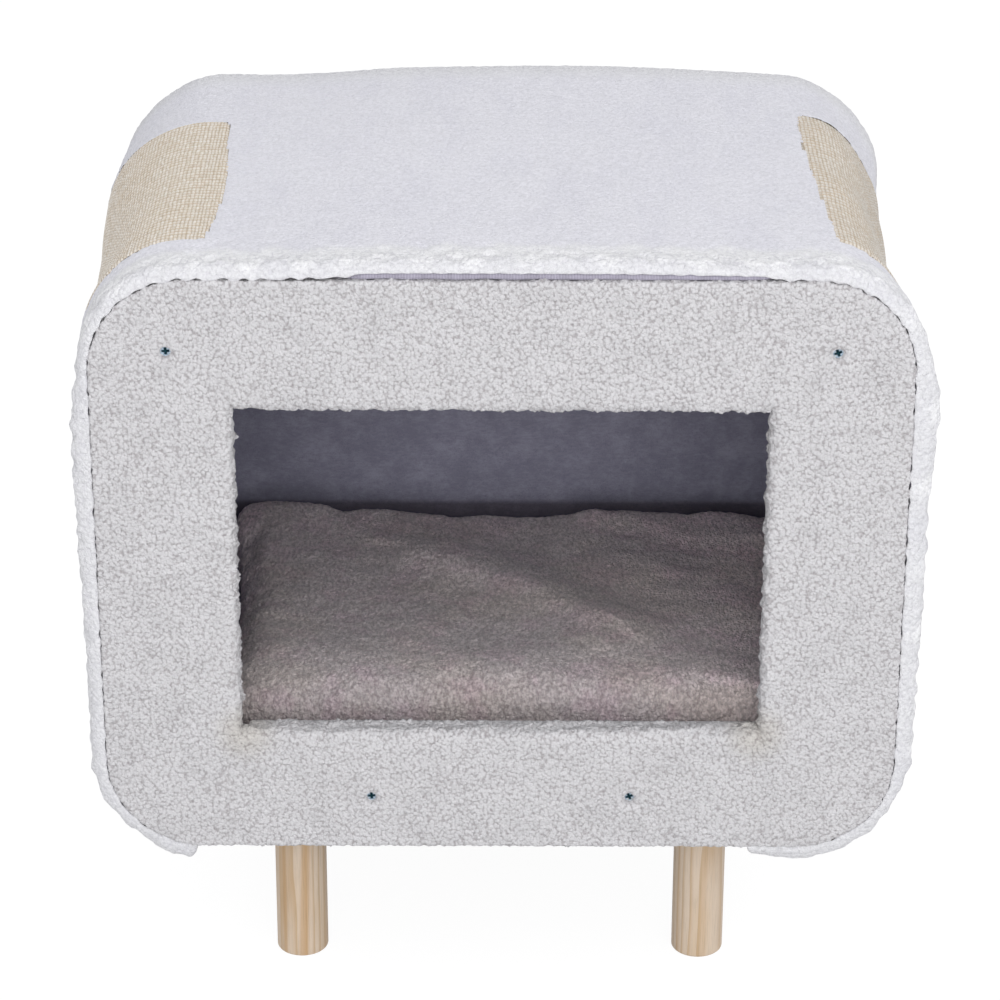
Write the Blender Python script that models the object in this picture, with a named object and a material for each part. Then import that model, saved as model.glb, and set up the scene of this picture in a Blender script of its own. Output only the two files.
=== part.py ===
"""A pet house on four turned legs, built up the way the real one is screwed, glued and upholstered.

Two rounded boards, each in a curly pile cover, are held apart by a floor board and two battens. A bent
sheet in a fleece cover goes over them like a sleeve that is open below. Two sisal patches are let into
the fleece over the top corners, and a loose plush mat lies on the floor board.

Metres, +Z up. The front faces -Y. The origin is on the ground below the middle of the house.
"""

import math

import bmesh
import bpy
from mathutils import Matrix, Vector
from mathutils.geometry import tessellate_polygon

CLEARANCE = 0.0003  # between two pieces that touch

# The front and back boards, and the curly pile cloth that is pulled over them
PANEL_WIDTH = 0.493
PANEL_HEIGHT = 0.383
PANEL_CORNER = 0.0575
PANEL_THICKNESS = 0.012
FACE_PILE = 0.004
RIM_PILE = 0.0025
RETURN_WIDTH = 0.016  # how far the cloth comes round onto the inner face
FELT_THICKNESS = 0.002
PILE_ROUNDING = 0.0022
ENTRANCE_WIDTH = 0.324
ENTRANCE_HEIGHT = 0.223
ENTRANCE_SILL = 0.082  # from the bottom of the covered board up to the entrance

# What holds the two boards apart
SPAN = 0.318  # length of the battens and depth of the floor board
BATTEN_SIDE = 0.020
BATTEN_EDGE = 0.0015
BATTEN_FROM_SIDE = 0.0473  # from the side of the covered board in to a batten's middle
BATTEN_BELOW_TOP = 0.047  # from the top of the covered board down to a batten's middle
FLOOR_THICKNESS = 0.015
FLOOR_RISE = 0.0265  # from the bottom of the covered board up to the floor board
FLOOR_SIDE_GAP = 0.003  # between the floor board and the bent sleeve
CLOTH_THICKNESS = 0.0008
CLOTH_EDGE_GAP = 0.012
FLAP_HALF_WIDTH = 0.120
FLAP_DROP = 0.0015  # how far the cloth's flap hangs out below the boards

# The sleeve: hems and felt inside, a bent sheet, and fleece outside
SHEET_THICKNESS = 0.003
FLEECE_PILE = 0.0045
FLEECE_ROUNDING = 0.004
HEM_THICKNESS = 0.002
HEM_WIDTH = 0.024
SLEEVE_RECESS = 0.0008  # how far the sleeve's edges lie behind the faces of the covered boards
TUCK_LEFT = 0.085  # how far each end of the sleeve goes on round its bottom corner
TUCK_RIGHT = 0.121

# Sisal patches over the two top corners
SISAL_THICKNESS = 0.0040
SISAL_LENGTH = 0.225
SISAL_WIDTH = 0.222
SISAL_FRONT_GAP = 0.034  # from the sleeve's front edge back to a patch
SISAL_CORNER = 0.012
SISAL_START_LEFT = -0.015  # where a patch starts, from the start of the top corner's bend
SISAL_START_RIGHT = 0.005

# Legs and what holds them
LEG_LENGTH = 0.1485
LEG_RADIUS = 0.017
LEG_CHAMFER = 0.0012
LEG_FROM_SIDE = 0.1038  # from the side of the floor board in to a leg's middle
LEG_FROM_END = 0.059
BOLT_RADIUS = 0.004
BOLT_IN_LEG = 0.026
BOLT_IN_FLOOR = 0.0125
NUT_WALL = 0.0010
NUT_BARREL = 0.009
NUT_FLANGE_RADIUS = 0.011
NUT_FLANGE_THICKNESS = 0.0012

# Countersunk cross-recess screws through the boards
SCREW_LENGTH = 0.045
SCREW_RADIUS = 0.002
SCREW_HEAD_RADIUS = 0.0038
SCREW_HEAD_HEIGHT = 0.0024
SCREW_TIP = 0.005
SCREW_WAY = 0.008  # how far out from its head a screw's hole is cut
CROSS_WIDTH = 0.0011
CROSS_LENGTH = 0.0044
CROSS_DEPTH = 0.0016
FLOOR_SCREW_ACROSS = 0.082

# The loose mat
MAT_SIDE_GAP = 0.0263  # to the sides of the floor board, if the mat lay in its middle
MAT_END_GAP = 0.0075
MAT_SHIFT = 0.014  # the mat lies this far right of the middle
MAT_HEIGHT = 0.041
MAT_EDGE_HEIGHT = 0.022
MAT_PLUSH = 0.003
MAT_WADDING_GAP = 0.0008
MAT_SIDE_DRAW = 0.006  # how far each side is drawn in between the corners
MAT_UNDERCUT = 0.005
MAT_CORNER_LIFT = 0.019  # how far the rear left corner puffs up
MAT_FOLD_HEIGHT = 0.004
MAT_FOLD_SPREAD = 0.020
# Where each soft fold starts and ends, in shares of the mat's half width and half depth
MAT_FOLDS = (((-0.34, 0.36), (0.30, -0.30)), ((-0.78, -0.58), (0.45, -0.52)))
MAT_CORNER_POWER = 8
MAT_CROWN_POWER = 8
MAT_CORNER_LIFT_POWER = 4
MAT_SIDE_BREAK = 0.45  # the share of its height at which the mat's side turns in

CORNER_STEPS = 10
ROUND_STEPS = 28
SMALL_STEPS = 12
MAT_STEPS_ACROSS = 20
MAT_STEPS_ALONG = 14
MAT_CROWDING = math.radians(72)  # 0 would space the mat's sections evenly
SMOOTH_BELOW = math.radians(35)

COVERED_WIDTH = PANEL_WIDTH + 2 * (CLEARANCE + RIM_PILE)
COVERED_HEIGHT = PANEL_HEIGHT + 2 * (CLEARANCE + RIM_PILE)
COVERED_CORNER = PANEL_CORNER + CLEARANCE + RIM_PILE

FLOOR_BOTTOM = LEG_LENGTH + 2 * CLEARANCE + CLOTH_THICKNESS
FLOOR_TOP = FLOOR_BOTTOM + FLOOR_THICKNESS
BODY_BOTTOM = FLOOR_BOTTOM - FLOOR_RISE
BODY_TOP = BODY_BOTTOM + COVERED_HEIGHT
BODY_MIDDLE = (BODY_BOTTOM + BODY_TOP) / 2
MAT_BOTTOM = FLOOR_TOP + FELT_THICKNESS + 2 * CLEARANCE

INNER_PLANE = SPAN / 2 + CLEARANCE
BOARD_INNER = INNER_PLANE + FELT_THICKNESS + CLEARANCE
BOARD_OUTER = BOARD_INNER + PANEL_THICKNESS
PILE_FACE = BOARD_OUTER + CLEARANCE + FACE_PILE
SLEEVE_EDGE = PILE_FACE - SLEEVE_RECESS

# Distances out from the outline of the covered boards, layer by layer
LINING_IN = CLEARANCE
LINING_OUT = LINING_IN + HEM_THICKNESS
SHEET_IN = LINING_OUT + CLEARANCE
SHEET_OUT = SHEET_IN + SHEET_THICKNESS
FLEECE_IN = SHEET_OUT + CLEARANCE
FLEECE_OUT = FLEECE_IN + FLEECE_PILE
SHEET_EDGE = SLEEVE_EDGE - FLEECE_PILE - CLEARANCE

FLAT_TOP = COVERED_WIDTH / 2 - COVERED_CORNER
FLAT_SIDE = COVERED_HEIGHT - 2 * COVERED_CORNER
BEND = COVERED_CORNER * math.pi / 2
TO_LAST_BEND = FLAT_TOP + BEND + FLAT_SIDE
SLEEVE_LEFT = -(TO_LAST_BEND + TUCK_LEFT)
SLEEVE_RIGHT = TO_LAST_BEND + TUCK_RIGHT

# The floor board ends just inside the sleeve, where that bends in towards the bottom
BELOW_BEND = max(COVERED_CORNER - FLOOR_RISE, 0)
FLOOR_HALF_WIDTH = FLAT_TOP + math.sqrt((COVERED_CORNER + LINING_IN) ** 2 - BELOW_BEND**2) - FLOOR_SIDE_GAP
FLOOR_MIDDLE = FLOOR_BOTTOM + FLOOR_THICKNESS / 2
BATTEN_ACROSS = COVERED_WIDTH / 2 - BATTEN_FROM_SIDE
BATTEN_Z = BODY_TOP - BATTEN_BELOW_TOP
LEG_ACROSS = FLOOR_HALF_WIDTH - LEG_FROM_SIDE
LEG_ALONG = SPAN / 2 - LEG_FROM_END
MAT_WIDTH = 2 * (FLOOR_HALF_WIDTH - MAT_SIDE_GAP)
MAT_DEPTH = SPAN - 2 * MAT_END_GAP

SCREW_PLACES = {
    "upper_left": (-BATTEN_ACROSS, BATTEN_Z),
    "upper_right": (BATTEN_ACROSS, BATTEN_Z),
    "lower_left": (-FLOOR_SCREW_ACROSS, FLOOR_MIDDLE),
    "lower_right": (FLOOR_SCREW_ACROSS, FLOOR_MIDDLE),
}
LEG_PLACES = {
    "front_left": (-LEG_ACROSS, -LEG_ALONG),
    "front_right": (LEG_ACROSS, -LEG_ALONG),
    "rear_left": (-LEG_ACROSS, LEG_ALONG),
    "rear_right": (LEG_ACROSS, LEG_ALONG),
}
ENDS = {"front": -1, "back": 1}


def clear_scene():
    for obj in list(bpy.data.objects):
        bpy.data.objects.remove(obj, do_unlink=True)


def material(name, colour, roughness, metallic=0.0):
    made = bpy.data.materials.new(name)
    made.use_nodes = True
    made.diffuse_color = (*colour, 1.0)
    shader = made.node_tree.nodes["Principled BSDF"]
    shader.inputs["Base Color"].default_value = (*colour, 1.0)
    shader.inputs["Roughness"].default_value = roughness
    shader.inputs["Metallic"].default_value = metallic
    return made


def object_from(bm, name, finish=None):
    """A scene object from a bmesh, with its faces turned outwards and its round sides shaded smooth."""
    bmesh.ops.recalc_face_normals(bm, faces=bm.faces)
    mesh = bpy.data.meshes.new(name)
    bm.to_mesh(mesh)
    bm.free()
    mesh.shade_smooth()
    mesh.set_sharp_from_angle(angle=SMOOTH_BELOW)
    obj = bpy.data.objects.new(name, mesh)
    bpy.context.scene.collection.objects.link(obj)
    if finish:
        mesh.materials.append(finish)
    return obj


def combine(obj, other, operation):
    """Cuts the other object out of this one, or joins the two. The other is only a guide from then on."""
    other.hide_render = True
    other.display_type = "WIRE"
    modifier = obj.modifiers.new(f"{operation.lower()} {other.name}", "BOOLEAN")
    modifier.operation = operation
    modifier.solver = "EXACT"
    modifier.object = other


def cut(obj, cutter):
    combine(obj, cutter, "DIFFERENCE")


def join(obj, other):
    combine(obj, other, "UNION")


def rounded_outline(width, height, radius, middle_x, middle_z):
    """Points of a rounded rectangle in XZ, once round."""
    points = []
    corners = ((1, 1, 0), (-1, 1, 90), (-1, -1, 180), (1, -1, 270))
    for side_x, side_z, start in corners:
        for step in range(CORNER_STEPS + 1):
            angle = math.radians(start + 90 * step / CORNER_STEPS)
            points.append(
                (
                    middle_x + side_x * (width / 2 - radius) + radius * math.cos(angle),
                    middle_z + side_z * (height / 2 - radius) + radius * math.sin(angle),
                )
            )
    return points


def square_outline(width, height, middle_x, middle_z):
    return [
        (middle_x + side_x * width / 2, middle_z + side_z * height / 2)
        for side_x, side_z in ((1, 1), (-1, 1), (-1, -1), (1, -1))
    ]


def plate_mesh(outlines, low_y, high_y):
    """A plate between two Y planes: the first outline is its edge in XZ, and the rest are holes."""
    bm = bmesh.new()
    flat = [point for outline in outlines for point in outline]
    low = [bm.verts.new((x, low_y, z)) for x, z in flat]
    high = [bm.verts.new((x, high_y, z)) for x, z in flat]
    loops = [[Vector((x, z, 0)) for x, z in outline] for outline in outlines]
    for corners in tessellate_polygon(loops):
        bm.faces.new([low[index] for index in corners])
        bm.faces.new([high[index] for index in reversed(corners)])
    start = 0
    for outline in outlines:
        count = len(outline)
        for index in range(count):
            here, there = start + index, start + (index + 1) % count
            bm.faces.new((low[here], low[there], high[there], high[here]))
        start += count
    return bm


def plate(name, outlines, low_y, high_y, finish=None):
    return object_from(plate_mesh(outlines, low_y, high_y), name, finish)


def lathe_mesh(profile, steps):
    """Turns a profile of (radius, height) points round +Z. Its first and last points lie on the axis."""
    bm = bmesh.new()
    rings = []
    for radius, height in profile:
        if radius == 0:
            rings.append([bm.verts.new((0, 0, height))])
            continue
        rings.append(
            [
                bm.verts.new(
                    (
                        radius * math.cos(2 * math.pi * step / steps),
                        radius * math.sin(2 * math.pi * step / steps),
                        height,
                    )
                )
                for step in range(steps)
            ]
        )
    for ring, following in zip(rings, rings[1:]):
        for step in range(steps):
            after = (step + 1) % steps
            corners = [ring[step % len(ring)], ring[after % len(ring)]]
            corners += [following[after % len(following)], following[step % len(following)]]
            bm.faces.new(list(dict.fromkeys(corners)))
    return bm


def lathe(name, profile, place, finish=None, steps=SMALL_STEPS, along_y=0):
    """A turned piece whose own +Z points up, or along Y when along_y is 1 or -1."""
    bm = lathe_mesh(profile, steps)
    if along_y:
        bmesh.ops.rotate(bm, verts=bm.verts, matrix=Matrix.Rotation(-along_y * math.pi / 2, 3, "X"))
    obj = object_from(bm, name, finish)
    obj.location = place
    return obj


def box_mesh(low, high):
    bm = bmesh.new()
    bmesh.ops.create_cube(bm, size=1)
    for vert in bm.verts:
        for axis in range(3):
            vert.co[axis] = low[axis] if vert.co[axis] < 0 else high[axis]
    return bm


def box(name, low, high, finish=None):
    return object_from(box_mesh(low, high), name, finish)


def outline_at(distance):
    """The point and outward normal of the covered boards' outline, this far to the right of its top's middle.

    Distances to the left are negative.
    """
    side = 1 if distance >= 0 else -1
    left = abs(distance)
    upper_z, lower_z = BODY_TOP - COVERED_CORNER, BODY_BOTTOM + COVERED_CORNER
    if left <= FLAT_TOP:
        return Vector((side * left, 0, BODY_TOP)), Vector((0, 0, 1))
    left -= FLAT_TOP
    if left <= BEND:
        angle = left / COVERED_CORNER
        normal = Vector((side * math.sin(angle), 0, math.cos(angle)))
        return Vector((side * FLAT_TOP, 0, upper_z)) + COVERED_CORNER * normal, normal
    left -= BEND
    if left <= FLAT_SIDE:
        return Vector((side * COVERED_WIDTH / 2, 0, upper_z - left)), Vector((side, 0, 0))
    left -= FLAT_SIDE
    if left <= BEND:
        angle = left / COVERED_CORNER
        normal = Vector((side * math.cos(angle), 0, -math.sin(angle)))
        return Vector((side * FLAT_TOP, 0, lower_z)) + COVERED_CORNER * normal, normal
    left -= BEND
    return Vector((side * (FLAT_TOP - left), 0, BODY_BOTTOM)), Vector((0, 0, -1))


def distances_between(start, end, extra=()):
    """Where a band that runs along the outline needs a section: its ends, its bends and the steps in them."""
    marks = {start, end, *extra}
    for side in (-1, 1):
        for bend_start in (FLAT_TOP, TO_LAST_BEND):
            marks |= {side * (bend_start + BEND * step / CORNER_STEPS) for step in range(CORNER_STEPS + 1)}
    shortest = BEND / CORNER_STEPS / 8
    kept = []
    for mark in sorted(mark for mark in marks if start <= mark <= end):
        if kept and mark - kept[-1] < shortest:
            if mark == end:
                kept[-1] = mark
            continue
        kept.append(mark)
    return kept


def swept_band(name, distances, section_at, finish=None):
    """A solid whose section, (distance out, y) points for each place along the outline, follows that outline."""
    bm = bmesh.new()
    rings = []
    for distance in distances:
        point, normal = outline_at(distance)
        rings.append([bm.verts.new(point + out * normal + Vector((0, y, 0))) for out, y in section_at(distance)])
    for ring, following in zip(rings, rings[1:]):
        for index in range(len(ring)):
            after = (index + 1) % len(ring)
            bm.faces.new((ring[index], ring[after], following[after], following[index]))
    bm.faces.new(rings[0])
    bm.faces.new(rings[-1])
    return object_from(bm, name, finish)


def plain_band(name, start, end, inner, outer, low_y, high_y, finish):
    section = [(inner, low_y), (outer, low_y), (outer, high_y), (inner, high_y)]
    return swept_band(name, distances_between(start, end), lambda distance: section, finish)


def screw_profile(grown=0.0):
    """Down the screw from its head's face, as (radius, depth), ending on the axis."""
    return [
        (0, 0),
        (SCREW_HEAD_RADIUS + grown, 0),
        (SCREW_RADIUS + grown, SCREW_HEAD_HEIGHT),
        (SCREW_RADIUS + grown, SCREW_LENGTH - SCREW_TIP),
        (0, SCREW_LENGTH + grown),
    ]


def screw_hole(name, place, end, grown=CLEARANCE):
    """A cutter for a screw and the free way to its head, from well outside the pile."""
    way = [(0, -SCREW_WAY), (SCREW_HEAD_RADIUS + grown, -SCREW_WAY)]
    x, z = place
    return lathe(name, way + screw_profile(grown)[1:], (x, end * BOARD_OUTER, z), along_y=-end)


def make_screws(finish):
    """Four screws at each end, and the cutters for their holes."""
    holes = []
    for end_name, end in ENDS.items():
        for place_name, (x, z) in SCREW_PLACES.items():
            name = f"{end_name}_screw_{place_name}"
            screw = lathe(name, screw_profile(), (x, end * BOARD_OUTER, z), finish, along_y=-end)
            for turned, (half_x, half_z) in enumerate(
                ((CROSS_LENGTH / 2, CROSS_WIDTH / 2), (CROSS_WIDTH / 2, CROSS_LENGTH / 2))
            ):
                near = end * (BOARD_OUTER - CROSS_DEPTH)
                far = end * (BOARD_OUTER + CROSS_DEPTH)
                slot = box(
                    f"{name}_slot_{turned}",
                    (x - half_x, min(near, far), z - half_z),
                    (x + half_x, max(near, far), z + half_z),
                )
                cut(screw, slot)
            holes.append(screw_hole(f"{name}_hole", (x, z), end))
    return holes


def covered_outlines(grown, with_entrance):
    """The outline of the covered board, grown or shrunk, and of its entrance, shrunk or grown."""
    outlines = [
        rounded_outline(
            COVERED_WIDTH + 2 * grown, COVERED_HEIGHT + 2 * grown, COVERED_CORNER + grown, 0, BODY_MIDDLE
        )
    ]
    if with_entrance:
        entrance_z = BODY_BOTTOM + ENTRANCE_SILL + ENTRANCE_HEIGHT / 2
        outlines.append(
            square_outline(ENTRANCE_WIDTH - 2 * grown, ENTRANCE_HEIGHT - 2 * grown, 0, entrance_z)
        )
    return outlines


def ordered(first, second):
    return min(first, second), max(first, second)


def strip(bm, ring, following):
    """Faces between two rings of as many vertices."""
    for index in range(len(ring)):
        after = (index + 1) % len(ring)
        bm.faces.new((ring[index], ring[after], following[after], following[index]))


def pile_cover(name, end, with_entrance, finish, holes):
    """The cloth over one board: over its face and rim, into the entrance, and back onto the inner face."""
    face, inner = end * PILE_FACE, end * INNER_PLANE
    behind_board = end * (BOARD_INNER - CLEARANCE)
    before_board = end * (BOARD_OUTER + CLEARANCE)
    rounds = [(0, face), (0, inner), (-RETURN_WIDTH, inner), (-RETURN_WIDTH, behind_board)]
    rounds += [(-RIM_PILE, behind_board), (-RIM_PILE, before_board)]
    bm = bmesh.new()
    walls = [
        [[bm.verts.new((x, y, z)) for x, z in outline] for outline in covered_outlines(grown, with_entrance)]
        for grown, y in rounds
    ]
    for rings, following in zip(walls, walls[1:]):
        for ring, next_ring in zip(rings, following):
            strip(bm, ring, next_ring)
    for rings in (walls[0], walls[-1]):
        verts = [vert for ring in rings for vert in ring]
        loops = [[Vector((vert.co.x, vert.co.z, 0)) for vert in ring] for ring in rings]
        for corners in tessellate_polygon(loops):
            bm.faces.new([verts[index] for index in corners])
    bmesh.ops.recalc_face_normals(bm, faces=bm.faces)
    front = [edge for edge in bm.edges if all(abs(vert.co.y - face) < CLEARANCE / 10 for vert in edge.verts)]
    rim = [edge for edge in front if edge.calc_face_angle(0) > math.radians(45)]
    bmesh.ops.bevel(
        bm, geom=rim, offset=PILE_ROUNDING, segments=3, profile=0.5, affect="EDGES", clamp_overlap=True
    )
    cover = object_from(bm, name, finish)
    for hole in holes:
        cut(cover, hole)
    return cover


def make_end(end_name, finishes, holes):
    """One end of the house: its board, the pile cover and the felt on the inside."""
    end = ENDS[end_name]
    with_entrance = end_name == "front"
    near = [hole for hole in holes if hole.name.startswith(end_name)]
    board_outlines = covered_outlines(-RIM_PILE - CLEARANCE, with_entrance)
    board = plate(
        f"{end_name}_board", board_outlines, *ordered(end * BOARD_INNER, end * BOARD_OUTER), finishes["board"]
    )
    felt_outlines = covered_outlines(-RETURN_WIDTH - CLEARANCE, with_entrance)
    felt_planes = ordered(end * INNER_PLANE, end * (INNER_PLANE + FELT_THICKNESS))
    felt = plate(f"{end_name}_lining", felt_outlines, *felt_planes, finishes["felt"])
    for hole in near:
        cut(board, hole)
        cut(felt, hole)
    pile_cover(f"{end_name}_cover", end, with_entrance, finishes["pile"], near)


def make_battens(finish, holes):
    for name, side in (("left", -1), ("right", 1)):
        x, half = side * BATTEN_ACROSS, BATTEN_SIDE / 2
        bm = box_mesh((x - half, -SPAN / 2, BATTEN_Z - half), (x + half, SPAN / 2, BATTEN_Z + half))
        along = [edge for edge in bm.edges if abs(edge.verts[0].co.y - edge.verts[1].co.y) > BATTEN_SIDE]
        bmesh.ops.bevel(bm, geom=along, offset=BATTEN_EDGE, segments=2, profile=0.5, affect="EDGES")
        batten = object_from(bm, f"batten_{name}", finish)
        for hole in holes:
            if f"upper_{name}" in hole.name:
                cut(batten, hole)


def nut_profile(grown=0.0):
    """Down a flanged nut from the floor board's upper face, as (radius, height)."""
    barrel = BOLT_RADIUS + CLEARANCE + NUT_WALL + grown
    return [
        (NUT_FLANGE_RADIUS + grown, FLOOR_TOP),
        (NUT_FLANGE_RADIUS + grown, FLOOR_TOP - NUT_FLANGE_THICKNESS - grown),
        (barrel, FLOOR_TOP - NUT_FLANGE_THICKNESS - grown),
        (barrel, FLOOR_TOP - NUT_FLANGE_THICKNESS - NUT_BARREL - grown),
    ]


def make_legs(finishes):
    """Four legs with their bolts and nuts, and the cutters for their holes."""
    holes = []
    bolt_low = LEG_LENGTH - BOLT_IN_LEG
    bolt_high = FLOOR_BOTTOM + BOLT_IN_FLOOR
    for name, (x, y) in LEG_PLACES.items():
        place = (x, y, 0)
        leg_profile = [
            (0, 0),
            (LEG_RADIUS - LEG_CHAMFER, 0),
            (LEG_RADIUS, LEG_CHAMFER),
            (LEG_RADIUS, LEG_LENGTH - LEG_CHAMFER),
            (LEG_RADIUS - LEG_CHAMFER, LEG_LENGTH),
            (0, LEG_LENGTH),
        ]
        leg = lathe(f"leg_{name}", leg_profile, place, finishes["wood"], steps=ROUND_STEPS)
        tip = BOLT_RADIUS / 2
        bolt_profile = [
            (0, bolt_low),
            (tip, bolt_low),
            (BOLT_RADIUS, bolt_low + tip),
            (BOLT_RADIUS, bolt_high - tip / 2),
            (BOLT_RADIUS - tip / 2, bolt_high),
            (0, bolt_high),
        ]
        lathe(f"leg_bolt_{name}", bolt_profile, place, finishes["zinc"])
        reach = BOLT_RADIUS + CLEARANCE
        way_profile = [(0, bolt_low - CLEARANCE), (reach, bolt_low - CLEARANCE)]
        way_profile += [(reach, bolt_high + FLOOR_THICKNESS), (0, bolt_high + FLOOR_THICKNESS)]
        bolt_way = lathe(f"leg_bolt_{name}_way", way_profile, place)
        nut_low = nut_profile()[-1][1]
        nut = lathe(
            f"leg_nut_{name}", [(0, FLOOR_TOP), *nut_profile(), (0, nut_low)], place, finishes["zinc"]
        )
        cut(nut, bolt_way)
        cut(leg, bolt_way)
        seat_top = FLOOR_TOP + FLOOR_THICKNESS
        seat_profile = nut_profile(CLEARANCE)
        seat_profile[0] = (NUT_FLANGE_RADIUS + CLEARANCE, seat_top)
        seat_profile = [(0, seat_top), *seat_profile, (0, seat_profile[-1][1])]
        holes.append(bolt_way)
        holes.append(lathe(f"leg_nut_{name}_seat", seat_profile, place))
    return holes


def make_floor(finishes, screw_holes, leg_holes):
    """The floor board, the felt on it and the thin dark cloth under it."""
    half_width, half_depth = FLOOR_HALF_WIDTH, SPAN / 2
    floor = box(
        "floor_board",
        (-half_width, -half_depth, FLOOR_BOTTOM),
        (half_width, half_depth, FLOOR_TOP),
        finishes["board"],
    )
    for hole in [hole for hole in screw_holes if "lower" in hole.name] + leg_holes:
        cut(floor, hole)
    felt_low = FLOOR_TOP + CLEARANCE
    box(
        "floor_lining",
        (-half_width, -half_depth, felt_low),
        (half_width, half_depth, felt_low + FELT_THICKNESS),
        finishes["felt"],
    )
    make_under_cloth(half_width - CLOTH_EDGE_GAP, finishes["cloth"], leg_holes)


def make_under_cloth(half_width, finish, leg_holes):
    """A thin cloth stapled under the floor board. A flap at each end hangs down just past the boards."""
    top = FLOOR_BOTTOM - CLEARANCE
    end = SPAN / 2
    low = (-half_width, -end, top - CLOTH_THICKNESS)
    cloth = box("under_cloth", low, (half_width, end, top), finish)
    flap = min(FLAP_HALF_WIDTH, half_width - CLOTH_EDGE_GAP)
    hem = BODY_BOTTOM - FLAP_DROP
    for name, side in ENDS.items():
        low_y, high_y = ordered(side * end, side * (end - CLOTH_THICKNESS))
        join(cloth, box(f"under_cloth_flap_{name}", (-flap, low_y, hem), (flap, high_y, top)))
    for hole in leg_holes:
        if hole.name.endswith("_way"):
            cut(cloth, hole)


def fleece_section():
    """The fleece's section: over the sheet's outside and round onto both of its edges, with soft corners."""
    points = []
    radius = FLEECE_ROUNDING
    for end in (-1, 1):
        corner = []
        for step in range(5):
            angle = math.radians(90 * step / 4)
            out = FLEECE_OUT - radius + radius * math.sin(angle)
            y = SLEEVE_EDGE - radius + radius * math.cos(angle)
            corner.append((out, end * y))
        edge = [(SHEET_IN, end * SLEEVE_EDGE), *corner]
        points += edge if end < 0 else edge[::-1]
    inner = SHEET_EDGE + CLEARANCE
    points += [(SHEET_IN, inner), (FLEECE_IN, inner), (FLEECE_IN, -inner), (SHEET_IN, -inner)]
    return points


def patch_band(name, side, start, grown, inner, outer, finish=None):
    """A patch with round corners that lies along the outline, or its window's cutter when grown."""
    length = SISAL_LENGTH + 2 * grown
    low_y = -SLEEVE_EDGE + SISAL_FRONT_GAP - grown
    high_y = low_y + SISAL_WIDTH + 2 * grown
    radius = SISAL_CORNER + grown
    near = FLAT_TOP + start - grown
    ends = sorted((side * near, side * (near + length)))
    steps = [radius * (1 - math.cos(math.radians(15 * step))) for step in range(7)]
    extra = [ends[0] + step for step in steps] + [ends[1] - step for step in steps]

    def section(distance):
        from_end = min(distance - ends[0], ends[1] - distance, radius)
        inset = radius - math.sqrt(max(radius**2 - (radius - from_end) ** 2, 0))
        return [
            (inner, low_y + inset),
            (outer, low_y + inset),
            (outer, high_y - inset),
            (inner, high_y - inset),
        ]

    return swept_band(name, distances_between(*ends, extra), section, finish)


def make_sleeve(finishes):
    """The bent sheet over the two ends, its felt and hems inside, its fleece, and the sisal let into it."""
    ends = (SLEEVE_LEFT, SLEEVE_RIGHT)
    plain_band("sleeve_sheet", *ends, SHEET_IN, SHEET_OUT, -SHEET_EDGE, SHEET_EDGE, finishes["sheet"])
    hem_end = SLEEVE_EDGE - HEM_WIDTH
    felt_end = hem_end - CLEARANCE
    plain_band("sleeve_lining", *ends, LINING_IN, LINING_OUT, -felt_end, felt_end, finishes["felt"])
    for name, end in ENDS.items():
        planes = ordered(end * SLEEVE_EDGE, end * hem_end)
        plain_band(f"sleeve_hem_{name}", *ends, LINING_IN, LINING_OUT, *planes, finishes["knit"])
    section = fleece_section()
    fleece = swept_band("fleece_cover", distances_between(*ends), lambda distance: section, finishes["fleece"])
    for name, side, start in (("left", -1, SISAL_START_LEFT), ("right", 1, SISAL_START_RIGHT)):
        patch_band(
            f"sisal_patch_{name}", side, start, 0, FLEECE_IN, FLEECE_IN + SISAL_THICKNESS, finishes["sisal"]
        )
        window = patch_band(
            f"sisal_window_{name}",
            side,
            start,
            CLEARANCE,
            SHEET_IN,
            FLEECE_OUT + FLEECE_PILE,
        )
        cut(fleece, window)


def fold_height(x, y):
    """How much the soft folds raise the mat here, measured from its middle."""
    height = 0.0
    here = Vector((x, y))
    for ends in MAT_FOLDS:
        start, end = (Vector((across * MAT_WIDTH / 2, along * MAT_DEPTH / 2)) for across, along in ends)
        run = end - start
        share = min(max((here - start).dot(run) / run.length_squared, 0), 1)
        distance = (here - start - share * run).length
        height += MAT_FOLD_HEIGHT * math.exp(-((distance / MAT_FOLD_SPREAD) ** 2))
    return height


def mat_point(across, along, inset, drop):
    """A point of the mat's upper face for across and along from -1 to 1, moved in and down."""
    power = MAT_CORNER_POWER
    reach = max(abs(across), abs(along))
    round_off = 1.0
    if reach > 0:
        u, v = abs(across) / reach, abs(along) / reach
        round_off = (u**power + v**power) ** (-1 / power)
    x = (MAT_WIDTH / 2 - inset) * across * round_off
    y = (MAT_DEPTH / 2 - inset) * along * round_off
    x -= math.copysign(MAT_SIDE_DRAW * (1 - along**2) * abs(across) ** 3, across)
    y -= math.copysign(MAT_SIDE_DRAW * (1 - across**2) * abs(along) ** 3, along)
    crown = math.sqrt(max(1 - reach**MAT_CROWN_POWER, 0))
    height = MAT_EDGE_HEIGHT + (MAT_HEIGHT - MAT_EDGE_HEIGHT) * crown + fold_height(x, y)
    towards_corner = max(0.0, (along - across) / 2)
    height += MAT_CORNER_LIFT * towards_corner**MAT_CORNER_LIFT_POWER
    return Vector((MAT_SHIFT + x, y, MAT_BOTTOM + height - drop))


def crowded(step, steps):
    """A section's place from -1 to 1. The sections lie closer towards the edge, where the mat bends most."""
    return math.sin(MAT_CROWDING * (2 * step / steps - 1)) / math.sin(MAT_CROWDING)


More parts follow.
